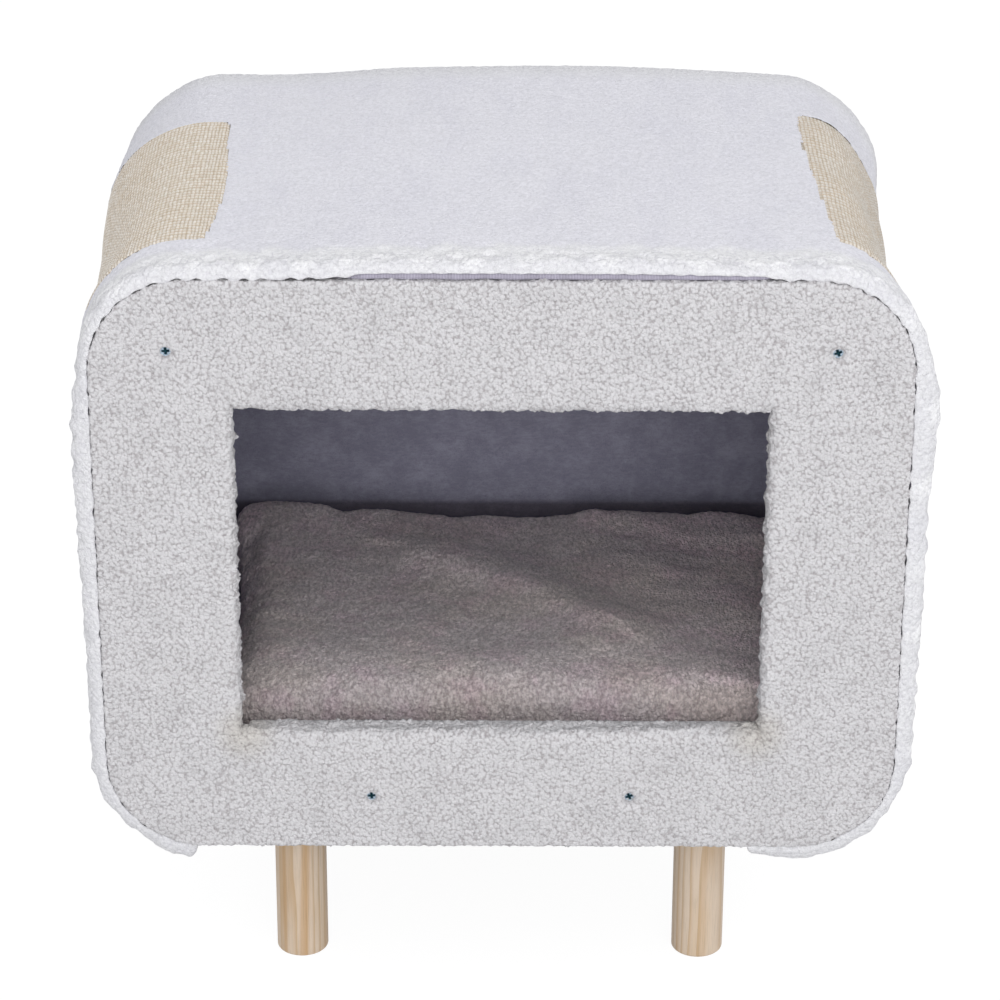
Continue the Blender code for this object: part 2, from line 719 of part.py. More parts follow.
def mat_rings(inset, drop, bottom):
    """The grid of the upper face and the two rings below its edge, as vectors."""
    grid = [
        [
            mat_point(crowded(i, MAT_STEPS_ACROSS), crowded(j, MAT_STEPS_ALONG), inset, drop)
            for i in range(MAT_STEPS_ACROSS + 1)
        ]
        for j in range(MAT_STEPS_ALONG + 1)
    ]
    edge = [(0, i) for i in range(MAT_STEPS_ACROSS)]
    edge += [(j, MAT_STEPS_ACROSS) for j in range(MAT_STEPS_ALONG)]
    edge += [(MAT_STEPS_ALONG, i) for i in range(MAT_STEPS_ACROSS, 0, -1)]
    edge += [(j, 0) for j in range(MAT_STEPS_ALONG, 0, -1)]
    seam = [grid[j][i] for j, i in edge]
    shrink_x = 1 - MAT_UNDERCUT / (MAT_WIDTH / 2)
    shrink_y = 1 - MAT_UNDERCUT / (MAT_DEPTH / 2)
    below = [Vector((point.x, point.y, bottom + (point.z - bottom) * MAT_SIDE_BREAK)) for point in seam]
    foot = [
        Vector((MAT_SHIFT + (point.x - MAT_SHIFT) * shrink_x, point.y * shrink_y, bottom)) for point in seam
    ]
    return grid, edge, below, foot


def skin(bm, inset, drop, bottom):
    """Adds the upper face and its sides to the bmesh and gives the ring of vertices at the foot.

    Each quad is split along the diagonal that points to the mat's middle, so that nested skins stay apart.
    """
    grid, edge, below, foot = mat_rings(inset, drop, bottom)
    verts = [[bm.verts.new(point) for point in row] for row in grid]
    for j, (row, following) in enumerate(zip(verts, verts[1:])):
        for i in range(MAT_STEPS_ACROSS):
            quad = [row[i], row[i + 1], following[i + 1], following[i]]
            if (2 * i + 1 < MAT_STEPS_ACROSS) != (2 * j + 1 < MAT_STEPS_ALONG):
                quad = quad[1:] + quad[:1]
            bm.faces.new(quad[:3])
            bm.faces.new((quad[0], *quad[2:]))
    rings = [[verts[j][i] for j, i in edge]]
    rings += [[bm.verts.new(point) for point in ring] for ring in (below, foot)]
    for ring, following in zip(rings, rings[1:]):
        strip(bm, ring, following)
    bmesh.ops.triangulate(bm, faces=bm.faces, quad_method="FIXED")
    return rings[-1]


def make_mat(finishes):
    """The loose mat: a plush top that is open below, the wadding in it and the cloth sewn under it."""
    cloth_top = MAT_BOTTOM + CLOTH_THICKNESS
    foot_z = cloth_top + CLEARANCE
    bm = bmesh.new()
    outer = skin(bm, 0, 0, foot_z)
    inner = skin(bm, MAT_PLUSH, MAT_PLUSH, foot_z)
    strip(bm, outer, inner)
    object_from(bm, "mat_cover", finishes["plush"])
    bm = bmesh.new()
    inset = MAT_PLUSH + MAT_WADDING_GAP
    bm.faces.new(skin(bm, inset, inset, foot_z))
    object_from(bm, "mat_wadding", finishes["wadding"])
    foot = mat_rings(0, 0, foot_z)[3]
    bm = bmesh.new()
    low = [bm.verts.new((point.x, point.y, MAT_BOTTOM)) for point in foot]
    high = [bm.verts.new((point.x, point.y, cloth_top)) for point in foot]
    bm.faces.new(low)
    bm.faces.new(high)
    strip(bm, low, high)
    object_from(bm, "mat_backing", finishes["cloth"])


def main():
    clear_scene()
    finishes = {
        "board": material("raw fibreboard", (0.42, 0.30, 0.19), 0.75),
        "sheet": material("bent hardboard", (0.30, 0.19, 0.11), 0.7),
        "pile": material("light grey curly pile", (0.60, 0.58, 0.60), 0.95),
        "fleece": material("white fleece", (0.78, 0.77, 0.82), 0.95),
        "knit": material("lavender grey knit", (0.48, 0.46, 0.54), 0.9),
        "felt": material("blue grey felt", (0.10, 0.10, 0.135), 0.95),
        "sisal": material("cream sisal", (0.66, 0.56, 0.43), 0.85),
        "wood": material("pale pine", (0.62, 0.44, 0.27), 0.5),
        "zinc": material("blue zinc", (0.55, 0.60, 0.68), 0.3, 1.0),
        "cloth": material("dark thin cloth", (0.03, 0.03, 0.035), 0.9),
        "plush": material("taupe plush", (0.23, 0.20, 0.19), 0.95),
        "wadding": material("white wadding", (0.85, 0.85, 0.83), 0.95),
    }
    screw_holes = make_screws(finishes["zinc"])
    for end_name in ENDS:
        make_end(end_name, finishes, screw_holes)
    make_battens(finishes["wood"], screw_holes)
    leg_holes = make_legs(finishes)
    make_floor(finishes, screw_holes, leg_holes)
    make_sleeve(finishes)
    make_mat(finishes)


main()
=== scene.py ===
"""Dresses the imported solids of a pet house: curly pile, fleece, sisal, knit, felt, plush, pine and zinc."""

import contextlib
import math

import bmesh
import bpy
import numpy as np
from bpy.props import FloatProperty, FloatVectorProperty, PointerProperty
from mathutils import Matrix, Vector
from mathutils.geometry import tessellate_polygon


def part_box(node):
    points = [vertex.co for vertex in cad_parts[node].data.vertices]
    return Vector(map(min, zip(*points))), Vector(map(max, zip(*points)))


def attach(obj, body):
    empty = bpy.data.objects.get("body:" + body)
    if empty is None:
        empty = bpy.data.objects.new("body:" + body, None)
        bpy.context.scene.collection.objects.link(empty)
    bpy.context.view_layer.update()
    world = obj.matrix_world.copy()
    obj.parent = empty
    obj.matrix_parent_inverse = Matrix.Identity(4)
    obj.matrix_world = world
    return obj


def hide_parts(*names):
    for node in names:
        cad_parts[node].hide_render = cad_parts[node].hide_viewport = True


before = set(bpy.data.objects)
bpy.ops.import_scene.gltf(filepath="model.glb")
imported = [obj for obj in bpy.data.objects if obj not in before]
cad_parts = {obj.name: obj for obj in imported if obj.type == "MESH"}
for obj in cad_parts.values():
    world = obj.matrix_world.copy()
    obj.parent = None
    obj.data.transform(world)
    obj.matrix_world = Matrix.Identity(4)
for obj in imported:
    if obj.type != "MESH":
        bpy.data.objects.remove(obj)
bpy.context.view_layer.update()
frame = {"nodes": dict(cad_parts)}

bl_info = {
    "name": "Pet house finishes",
    "version": (1, 0, 0),
    "blender": (4, 5, 0),
    "location": "3D View > Sidebar > Pet House",
    "description": "Covers the packed solids of the pet house with its cloths, mat, wood and metal",
    "category": "Object",
}

HOUSE, MAT = "house", "mat"
ENDS = {"front": -1, "back": 1}
SIDES = {"left": -1, "right": 1}

# The covered boards' outline and the layers outside it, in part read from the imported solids.
COVER_LOW, COVER_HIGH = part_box("front_cover")
HALF_WIDTH = COVER_HIGH.x
BODY_BOTTOM, BODY_TOP = COVER_LOW.z, COVER_HIGH.z
CORNER = 0.0603
PILE_FACE, INNER_PLANE = -COVER_LOW.y, -COVER_HIGH.y
FLEECE_LOW, FLEECE_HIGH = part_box("fleece_cover")
FLEECE_OUT = FLEECE_HIGH.x - HALF_WIDTH
SLEEVE_EDGE = FLEECE_HIGH.y
HEM_LOW, HEM_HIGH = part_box("sleeve_hem_front")
HEM_OUT = HEM_HIGH.x - HALF_WIDTH
HEM_IN = 0.0003
SHEET_IN = HEM_OUT + HEM_IN
FLAT_TOP = HALF_WIDTH - CORNER
BEND = CORNER * math.pi / 2
FLAT_SIDE = BODY_TOP - BODY_BOTTOM - 2 * CORNER
TO_LAST_BEND = FLAT_TOP + BEND + FLAT_SIDE
TUCK_LEFT, TUCK_RIGHT = 0.085, 0.121  # how far each end of the sleeve goes on round its bottom corner
SLEEVE_LEFT, SLEEVE_RIGHT = -(TO_LAST_BEND + TUCK_LEFT), TO_LAST_BEND + TUCK_RIGHT
ENTRANCE_HALF = 0.162
ENTRANCE_LOW, ENTRANCE_HIGH = BODY_BOTTOM + 0.082, BODY_BOTTOM + 0.305
# The edge of each sisal patch on the top: places y and how far each is from the middle, and its lower end.
SISAL_EDGE = {
    "left": (
        (-0.136, -0.1075, -0.0699, -0.0525, 0.0196, 0.0755),
        (0.1790, 0.1751, 0.1723, 0.1710, 0.1747, 0.1772),
    ),
    "right": ((-0.134, -0.0788, -0.0334, 0.0248, 0.0905), (0.2005, 0.1961, 0.1946, 0.1913, 0.1921)),
}
SISAL_END = {"left": FLAT_TOP + 0.210, "right": FLAT_TOP + 0.230}
SISAL_CORNER = 0.006  # radius of the patches' corners
# The loose left end of the sleeve reaches this much further in than its solids.
LOOSE_LEFT = SLEEVE_LEFT - 0.0005

# How the thin sheet has warped. The side tables run from the front edge to the back edge.
TOP_BOW_FRONT, TOP_BOW_BACK = 0.0024, 0.0070
SIDE_BOW = {
    "at": (-0.177, -0.160, -0.120, -0.080, -0.030, 0.013, 0.060, 0.105, 0.145, 0.160, 0.177),
    "left": (0, 0, -0.0035, -0.0058, -0.0030, -0.0012, 0.0022, 0.0026, 0.0008, 0, 0),
    "right": (0, 0, -0.0080, -0.0130, -0.0140, -0.0120, -0.0105, -0.0085, -0.0050, -0.0015, 0),
}
SIDE_BOW_BLUR = (-0.012, -0.006, 0, 0.006, 0.012)  # the tables are evened out over these places y


# Sizes and colours


def length(name, description, default):
    return FloatProperty(name=name, description=description, default=default, unit="LENGTH", precision=5)


def share(name, description, default):
    return FloatProperty(name=name, description=description, default=default, subtype="FACTOR")


def colour(name, description, default):
    return FloatVectorProperty(
        name=name, description=description, default=default, subtype="COLOR", size=3, min=0, max=1
    )


class PileLook(bpy.types.PropertyGroup):
    """The curly pile cloth of the two ends."""

    curl: length("Curl", "Width of one curl", 0.0021)
    relief: length("Relief", "Height of the clumps of curls", 0.0013)
    mesh: length("Mesh", "Spacing of the cover's mesh", 0.0013)
    crown: colour("Curl colour", "Colour of the curls", (0.735, 0.722, 0.737))
    # The gap colour is painted shade between the curls.
    gap: colour("Gap colour", "Colour between the curls", (0.385, 0.355, 0.365))
    soil: colour("Soil colour", "Yellowish tint near the entrance's lower corners", (0.86, 0.82, 0.72))
    # The cut colour is painted shade in the cut corner and the small holes of the entrance, over the board seen
    # through the cut.
    cut: colour("Cut colour", "Colour in the cut corner of the entrance", (0.20, 0.165, 0.17))


class FleeceLook(bpy.types.PropertyGroup):
    """The white fleece over the sleeve."""

    curl: length("Curl", "Width of one tuft on the flat", 0.0021)
    rim_curl: length("Rim curl", "Width of one tuft on the front edge", 0.0027)
    relief: length("Relief", "Height of the tufts on the flat", 0.0010)
    rim_relief: length("Rim relief", "Height of the tufts on the front edge", 0.0007)
    slack: length("Slack", "How far the loose fleece rises off the sheet", 0.0012)
    crown: colour("Tuft colour", "Colour of the tufts", (0.865, 0.855, 0.912))
    # The gap colours are painted shade between the tufts.
    gap: colour("Gap colour", "Colour between the tufts on the flat", (0.80, 0.79, 0.845))
    rim_gap: colour("Rim gap colour", "Colour between the tufts on the edges", (0.735, 0.725, 0.755))
    rim: colour("Rim colour", "Colour of the tufts on the edges", (0.80, 0.795, 0.815))
    raised: colour("Raised nap colour", "Colour of the nap beside the front edge", (0.915, 0.91, 0.92))


class SisalLook(bpy.types.PropertyGroup):
    """The two woven sisal patches."""

    cord: length("Cord", "Width of one cord of the weave", 0.0022)
    over: length("Crossing", "Length of cord that shows at one crossing", 0.0046)
    relief: length("Relief", "Height of the weave", 0.0007)
    pale: colour("Pale cord", "Colour of most cords", (0.97, 0.91, 0.83))
    tan: colour("Tan cord", "Colour of the darker cords", (0.90, 0.81, 0.70))
    speck: colour("Speck", "Colour of the brown specks", (0.28, 0.19, 0.11))


class FeltLook(bpy.types.PropertyGroup):
    """The felt inside, the knit hem and the dark cloth underneath."""

    felt: colour("Felt", "Colour of the felt", (0.28, 0.275, 0.36))
    felt_pale: colour("Pale felt", "Colour of the felt's pale mottling", (0.42, 0.41, 0.515))
    knit: colour("Knit", "Colour of the knit hem", (0.56, 0.535, 0.635))
    # The knit gap colour is painted shade between the ribs.
    knit_dark: colour("Knit gap", "Colour between the hem's ribs", (0.34, 0.31, 0.40))
    rib: length("Rib", "Width of one rib of the knit", 0.0009)
    under: colour("Under cloth", "Colour of the thin cloth under the floor", (0.035, 0.035, 0.04))


class MatLook(bpy.types.PropertyGroup):
    """The loose plush mat."""

    pale: colour("Plush", "Colour of the plush's tips", (0.568, 0.508, 0.510))
    # The plush gap colour is painted shade between the tips.
    dark: colour("Plush gap", "Colour between the tips", (0.445, 0.386, 0.387))
    tuft: length("Tuft", "Width of one tuft", 0.0018)
    relief: length("Relief", "Height of the tufts", 0.0014)
    cap: length("Swelling", "How far the filled mat may swell", 0.006)
    fill: share("Fill", "How tightly the mat is filled", 0.35)


class WoodLook(bpy.types.PropertyGroup):
    """The pine legs and battens, the boards and the metal."""

    pale: colour("Early wood", "Colour of the pale wood", (0.74, 0.605, 0.475))
    dark: colour("Late wood", "Colour of the grain lines", (0.585, 0.405, 0.24))
    ring: length("Ring", "Spacing of the growth rings", 0.0052)
    board: colour("Board", "Colour of the fibreboard", (0.42, 0.30, 0.19))
    sheet: colour("Sheet", "Colour of the bent hardboard", (0.30, 0.19, 0.11))
    streak: colour("Streak", "Colour of the resin streaks", (0.56, 0.34, 0.16))
    zinc: colour("Zinc", "Colour of the blue zinc plate", (0.40, 0.50, 0.60))


class StageLook(bpy.types.PropertyGroup):
    """The floor, the lamps and the world."""

    floor: colour("Floor", "Colour of the floor", (0.70, 0.70, 0.70))
    ambient: share("Ambient", "Strength of the light from all around", 0.68)
    key: share("Key", "Share of plain light from the key lamp", 0.28)
    fill: share("Fill", "Share of plain light from the fill lamp", 0.31)


GROUPS = {
    "pile": PileLook,
    "fleece": FleeceLook,
    "sisal": SisalLook,
    "felt": FeltLook,
    "mat": MatLook,
    "wood": WoodLook,
    "stage": StageLook,
}


def look(name):
    return getattr(bpy.context.scene, f"pet_house_{name}")


# Nodes from expressions


class Wire:
    """An output socket. Arithmetic on it adds Math nodes, or Vector Math nodes for vectors and colours."""

    def __init__(self, graph, socket):
        self.graph, self.socket = graph, socket

    def twin(self, name):
        """Another output of the same node."""
        return Wire(self.graph, self.socket.node.outputs[name])

    def join(self, operation, *operands):
        wide = any(
            isinstance(one, tuple) or isinstance(one, Wire) and one.socket.type in {"VECTOR", "RGBA"}
            for one in operands
        )
        kind = "ShaderNodeVectorMath" if wide else "ShaderNodeMath"
        return self.graph.node(kind, {"operation": operation}, dict(enumerate(operands)))

    def __add__(self, other):
        return self.join("ADD", self, other)

    def __radd__(self, other):
        return self.join("ADD", other, self)

    def __sub__(self, other):
        return self.join("SUBTRACT", self, other)

    def __rsub__(self, other):
        return self.join("SUBTRACT", other, self)

    def __mul__(self, other):
        return self.join("MULTIPLY", self, other)

    def __truediv__(self, other):
        return self.join("DIVIDE", self, other)

    def __pow__(self, other):
        return self.join("POWER", self, other)

    def max(self, other):
        return self.join("MAXIMUM", self, other)

    def min(self, other):
        return self.join("MINIMUM", self, other)

    def apply(self, operation):
        return self.join(operation, self)

    def smooth(self, low, high):
        """From 0 at low to 1 at high, with soft ends."""
        return self.graph.node(
            "ShaderNodeMapRange",
            {"interpolation_type": "SMOOTHSTEP"},
            {"Value": self, "From Min": low, "From Max": high},
        )

    def within(self, rise, full, fall, gone):
        """A soft band: 0 below rise, 1 from full to fall, and 0 again above gone."""
        return self.smooth(rise, full) * (1 - self.smooth(fall, gone))

    def parts(self):
        x = self.graph.node("ShaderNodeSeparateXYZ", {}, {"Vector": self})
        return x, x.twin("Y"), x.twin("Z")


class Graph:
    """A node tree that is built from expressions."""

    def __init__(self, tree):
        self.tree = tree

    def node(self, kind, settings, sockets):
        """Adds a node: its settings first, then its sockets. Gives its first output in use."""
        node = self.tree.nodes.new(kind)
        for name, value in settings.items():
            setattr(node, name, value)
        for key, value in sockets.items():
            socket = node.inputs[key]
            if isinstance(value, Wire):
                self.tree.links.new(value.socket, socket)
            elif isinstance(value, str) or not hasattr(socket.default_value, "__len__"):
                socket.default_value = value
            else:
                count = len(socket.default_value)
                many = list(value) if hasattr(value, "__len__") else [value] * count
                socket.default_value = (many + [1.0])[:count]
        return Wire(self, next((out for out in node.outputs if out.enabled), None))

    def mix(self, first, second, factor, blend="MIX"):
        return self.node(
            "ShaderNodeMix", {"data_type": "RGBA", "blend_type": blend}, {0: factor, 6: first, 7: second}
        )

    def noise(self, at, per_metre, detail=2.0, roughness=0.5):
        return self.node(
            "ShaderNodeTexNoise",
            {},
            {"Vector": at, "Scale": per_metre, "Detail": detail, "Roughness": roughness},
        )

    def cells(self, at, per_metre):
        return self.node("ShaderNodeTexVoronoi", {}, {"Vector": at, "Scale": per_metre})


class Finish(Graph):
    """A material on one Principled shader. Even values are set on its sockets by name."""

    def __init__(self, name, **even):
        self.material = bpy.data.materials.new(name)
        self.material.use_nodes = True
        super().__init__(self.material.node_tree)
        self.shader = next(node for node in self.tree.nodes if node.type == "BSDF_PRINCIPLED")
        for key, value in even.items():
            self.shader.inputs[key.replace("_", " ").title().replace("Ior", "IOR")].default_value = value

    def place(self, attribute=None):
        """The place on the surface: a stored attribute, or the object's own coordinates."""
        if attribute:
            found = self.node("ShaderNodeAttribute", {"attribute_name": attribute}, {})
            return found.twin("Vector")
        return self.node("ShaderNodeTexCoord", {}, {}).twin("Object")

    def amount(self, attribute):
        return self.node("ShaderNodeAttribute", {"attribute_name": attribute}, {}).twin("Fac")

    def feed(self, socket, wire):
        self.tree.links.new(wire.socket, self.shader.inputs[socket])

    def relief(self, height, depth, strength=1.0):
        """Bump from a height of about 0 to 1 that stands for depth metres."""
        sockets = {"Height": height, "Distance": depth, "Strength": strength}
        self.feed("Normal", self.node("ShaderNodeBump", {}, sockets))

    def shade(self, tone, by, where):
        """The tone, times a number or a colour where the mask is 1."""
        return self.mix(tone, tone * by, where)


def curls(at, size, wander=0.7):
    """From 0 in the gaps between tufts to about 1 on their crowns, for a cloth with tufts of this size."""
    graph = at.graph
    drift = graph.noise(at, 0.85 / size, 1).twin("Color") - 0.5
    moved = at + drift * (size * wander)
    tuft = graph.cells(moved, 1 / size)
    knot = graph.cells(moved + 0.4 * size, 2.3 / size)
    return (1 - tuft * tuft * 1.7).max(0) * 0.75 + (1 - knot * knot * 1.5).max(0) * 0.25


def sided_curls(at, rim, flat_size, rim_size):
    """Tufts that change from one size to another where rim goes from 0 to 1."""
    return curls(at, flat_size) * (1 - rim) + curls(at, rim_size) * rim


# Meshes


def mesh_piece(name, points, faces):
    mesh = bpy.data.meshes.new(name)
    mesh.from_pydata([tuple(point) for point in np.asarray(points, float).tolist()], [], list(faces))
    mesh.update()
    mesh.shade_smooth()
    piece = bpy.data.objects.new(name, mesh)
    bpy.context.scene.collection.objects.link(piece)
    return piece


def bmesh_piece(name, bm):
    mesh = bpy.data.meshes.new(name)
    bmesh.ops.recalc_face_normals(bm, faces=bm.faces)
    bm.to_mesh(mesh)
    bm.free()
    piece = bpy.data.objects.new(name, mesh)
    bpy.context.scene.collection.objects.link(piece)
    return piece


def settle(piece, body, slot, finish, *nodes):
    """Gives a piece its body and finish, and hides the solids that it stands for. Its slot is not used."""
    piece.data.materials.clear()
    piece.data.materials.append(finish.material)
    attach(piece, body)
    if nodes:
        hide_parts(*nodes)
    return piece


def places(piece):
    points = np.empty(len(piece.data.vertices) * 3)
    piece.data.vertices.foreach_get("co", points)
    return points.reshape(-1, 3)


def move_to(piece, points):
    piece.data.vertices.foreach_set("co", np.ascontiguousarray(points).ravel())
    piece.data.update()


def keep(piece, name, values):
    """Stores a number or a vector for each point of the mesh."""
    wide = np.ndim(values) == 2
    layer = piece.data.attributes.new(name, "FLOAT_VECTOR" if wide else "FLOAT", "POINT")
    layer.data.foreach_set("vector" if wide else "value", np.ascontiguousarray(values, float).ravel())


def apply_modifiers(piece):
    view = bpy.context.evaluated_depsgraph_get()
    made = bpy.data.meshes.new_from_object(
        piece.evaluated_get(view), preserve_all_data_layers=True, depsgraph=view
    )
    old = piece.data
    piece.modifiers.clear()
    piece.data = made
    bpy.data.meshes.remove(old)


def modify(piece, kind, **settings):
    modifier = piece.modifiers.new(kind.title(), kind)
    for name, value in settings.items():
        setattr(modifier, name, value)
    return modifier


def remesh(piece, size):
    """Gives the piece an even mesh with cells of this size."""
    modify(piece, "REMESH", mode="VOXEL", voxel_size=size, use_smooth_shade=True)
    apply_modifiers(piece)


def grid(xs, ys):
    """The x and the y of each point of a grid, in the order that grid_faces takes."""
    return (part.ravel() for part in np.meshgrid(xs, ys, indexing="ij"))


def grid_faces(rows, columns, kept=None):
    """The quads of a grid of points, row by row. kept says which quads stay."""
    index = np.arange(rows * columns).reshape(rows, columns)
    quads = np.stack([index[:-1, :-1], index[:-1, 1:], index[1:, 1:], index[1:, :-1]], -1).reshape(-1, 4)
    return (quads if kept is None else quads[np.asarray(kept).ravel()]).tolist()


def facing_out(rows, columns, kept=None):
    """The quads of a cloth over the sleeve, whose rows run to the right and whose columns run to the back."""
    return [face[::-1] for face in grid_faces(rows, columns, kept)]


def cell_middles(values):
    return (values[1:] + values[:-1]) / 2


@contextlib.contextmanager
def edited(piece):
    """The mesh of a piece as a bmesh, which is written back at the end."""
    bm = bmesh.new()
    bm.from_mesh(piece.data)
    yield bm
    bm.to_mesh(piece.data)
    bm.free()


def drop_loose(piece):
    """Deletes the points that no face uses."""
    with edited(piece) as bm:
        bmesh.ops.delete(bm, geom=[vert for vert in bm.verts if not vert.link_faces], context="VERTS")


def turned(name, points, steps, capped=False):
    """A turned piece of rings of points, with steps points each. The points of a closed ring are merged."""
    faces = []
    for base in range(0, len(points) - steps, steps):
        for k in range(steps):
            after = (k + 1) % steps
            faces.append((base + k, base + after, base + steps + after, base + steps + k))
    if capped:
        faces.append(tuple(range(len(points) - steps, len(points))))
    piece = mesh_piece(name, points, faces)
    with edited(piece) as bm:
        bmesh.ops.remove_doubles(bm, verts=bm.verts, dist=1e-6)
        bmesh.ops.recalc_face_normals(bm, faces=bm.faces)
    piece.data.shade_smooth()
    return piece


def uneven(at, size, seed):
    """A smooth value of about -1 to 1 for each place, with hills this size across."""
    dice = np.random.default_rng(seed)
    at = np.asarray(at, float)
    total = np.zeros(len(at))
    for _ in range(14):
        way = dice.normal(size=at.shape[1])
        way *= dice.uniform(0.6, 1.5) * math.pi / size / np.linalg.norm(way)
        total += np.sin(at @ way + dice.uniform(0, 2 * math.pi))
    return total / math.sqrt(14)


def between(value, low, high):
    """A soft step from 0 at low to 1 at high."""
    step = np.clip((value - low) / (high - low), 0, 1)
    return step * step * (3 - 2 * step)


def within(value, rise, full, fall, gone):
    """A soft band: 0 below rise, 1 from full to fall, and 0 again above gone."""
    return between(value, rise, full) * (1 - between(value, fall, gone))


def hill(value, middle, reach):
    """A smooth hill that is 1 at its middle and 0.37 at its reach."""
    return np.exp(-(((value - middle) / reach) ** 2))


def raise_pile(piece, height_of):
    """Lifts each point along its normal by the height of the pile there, worked out by nodes.

    The mesh holds each point's pile_depth in metres. The places before that are kept for the material.
    """
    keep(piece, "pile_at", places(piece))
    tree = bpy.data.node_groups.new(f"{piece.name}_relief", "GeometryNodeTree")
    for way in ("INPUT", "OUTPUT"):
        tree.interface.new_socket("Geometry", in_out=way, socket_type="NodeSocketGeometry")
    graph = Graph(tree)
    stored = {"data_type": "FLOAT"}

    def amount(name):
        return graph.node("GeometryNodeInputNamedAttribute", stored, {"Name": name})

    at = graph.node("GeometryNodeInputPosition", {}, {})
    normal = graph.node("GeometryNodeInputNormal", {}, {})
    offset = normal * (height_of(at, amount) * amount("pile_depth"))
    start = graph.node("NodeGroupInput", {}, {})
    moved = graph.node("GeometryNodeSetPosition", {}, {"Geometry": start, "Offset": offset})
    end = tree.nodes.new("NodeGroupOutput")
    tree.links.new(moved.socket, end.inputs[0])
    modify(piece, "NODES", node_group=tree)
    apply_modifiers(piece)
    piece.data.shade_smooth()
    bpy.data.node_groups.remove(tree)


def outline_at(distance, out):
    """Points (x, z) this far outside the covered boards' outline.

    distance runs to the right from the middle of the top, and is negative to the left.
    """
    side = np.where(distance < 0, -1.0, 1.0)
    run = np.abs(distance)
    top, low = BODY_TOP - CORNER, BODY_BOTTOM + CORNER
    first = np.clip((run - FLAT_TOP) / CORNER, 0, math.pi / 2)
    second = np.clip((run - TO_LAST_BEND) / CORNER, 0, math.pi / 2)
    angle = first + second
    down = np.clip(run - FLAT_TOP - BEND, 0, FLAT_SIDE)
    inward = np.maximum(run - TO_LAST_BEND - BEND, 0)
    middle_x = np.minimum(run, FLAT_TOP) - inward
    middle_z = np.where(run > TO_LAST_BEND, low, top - down)
    way = np.stack([side * np.sin(angle), np.cos(angle)], -1)
    middle = np.stack([side * middle_x, middle_z], -1)
    return middle + way * (CORNER + out)[..., None]


def spaced(low, high, step):
    return np.linspace(low, high, max(2, int(round((high - low) / step)) + 1))


def wrap(distances, section, change):
    """A cloth over the boards' outline, with the along and y of each of its points.

    section is its points (out, y), and change gives the out that each place really has.
    """
    along = np.repeat(distances, len(section))
    out, y = (np.tile(section[:, part], len(distances)) for part in (0, 1))
    flat = outline_at(along, change(along, out, y))
    return np.stack([flat[:, 0], y, flat[:, 1]], -1), along, y


def knit_shows(along):
    """1 where the knit hem shows in the gap over the front board, 0 where the fleece laps over it."""
    return within(along, -0.097, -0.082, 0.155, 0.166)


def bow(along, y):
    """How far the sleeve stands off its straight shape: up along the top, in or out beside the cabin."""
    raised = within(along, -0.165, -0.055, 0.045, 0.245)
    backwards = (y + SLEEVE_EDGE) / (2 * SLEEVE_EDGE)
    out = raised * (TOP_BOW_FRONT + (TOP_BOW_BACK - TOP_BOW_FRONT) * backwards)
    for side_name, side in SIDES.items():
        run = side * along - FLAT_TOP
        near = within(run, 0.15 * BEND, 0.7 * BEND, BEND + 0.05, BEND + 0.19)
        table = SIDE_BOW["at"], SIDE_BOW[side_name]
        out = out + near * np.mean([np.interp(y + shift, *table) for shift in SIDE_BOW_BLUR], axis=0)
    return out


def stand_off(along, out, y):
    """The layers that follow the sheet."""
    return out + bow(along, y)


def edge_distance(x, z):
    """How far a place on a covered board is inside the board's outline, and outside the entrance."""
    middle, half = (BODY_TOP + BODY_BOTTOM) / 2, (BODY_TOP - BODY_BOTTOM) / 2
    past = np.stack([np.abs(x) - HALF_WIDTH, np.abs(z - middle) - half], -1)
    over = np.maximum(past + CORNER, 0)
    rounded = np.linalg.norm(over, axis=-1) - CORNER
    outside = np.where((over > 0).all(-1), rounded, past.max(-1))
    door, door_half = (ENTRANCE_LOW + ENTRANCE_HIGH) / 2, (ENTRANCE_HIGH - ENTRANCE_LOW) / 2
    return -outside, np.maximum(np.abs(x) - ENTRANCE_HALF, np.abs(z - door) - door_half)


def rounded_outline(inset):
    """The ring of points (x, z) of the covered board's outline, drawn in by inset."""
    points, radius, steps = [], CORNER - inset, 24
    for side_x, side_z, start in ((1, 1, 0), (-1, 1, 90), (-1, -1, 180), (1, -1, 270)):
        middle_x = side_x * (HALF_WIDTH - CORNER)
        middle_z = BODY_TOP - CORNER if side_z > 0 else BODY_BOTTOM + CORNER
        for step in range(steps + 1):
            angle = math.radians(start + 90 * step / steps)
            points.append((middle_x + radius * math.cos(angle), middle_z + radius * math.sin(angle)))
    return points


def entrance_outline(grown):
    """The entrance's outline, made larger by grown."""
    half, low, high = ENTRANCE_HALF + grown, ENTRANCE_LOW - grown, ENTRANCE_HIGH + grown
    return [(half, high), (-half, high), (-half, low), (half, low)]


def plate_bmesh(outlines, first_y, second_y):
    """A plate between two Y planes: the first outline is its edge in XZ, and the rest are holes."""
    bm = bmesh.new()
    flat = [point for outline in outlines for point in outline]
    low = [bm.verts.new((x, first_y, z)) for x, z in flat]
    high = [bm.verts.new((x, second_y, z)) for x, z in flat]
    for corners in tessellate_polygon([[Vector((x, z, 0)) for x, z in outline] for outline in outlines]):
        bm.faces.new([low[index] for index in corners])
        bm.faces.new([high[index] for index in reversed(corners)])
    start = 0
    for outline in outlines:
        for index in range(len(outline)):
            here, there = start + index, start + (index + 1) % len(outline)
            bm.faces.new((low[here], low[there], high[there], high[here]))
        start += len(outline)
    bmesh.ops.recalc_face_normals(bm, faces=bm.faces)
    return bm


# Finishes


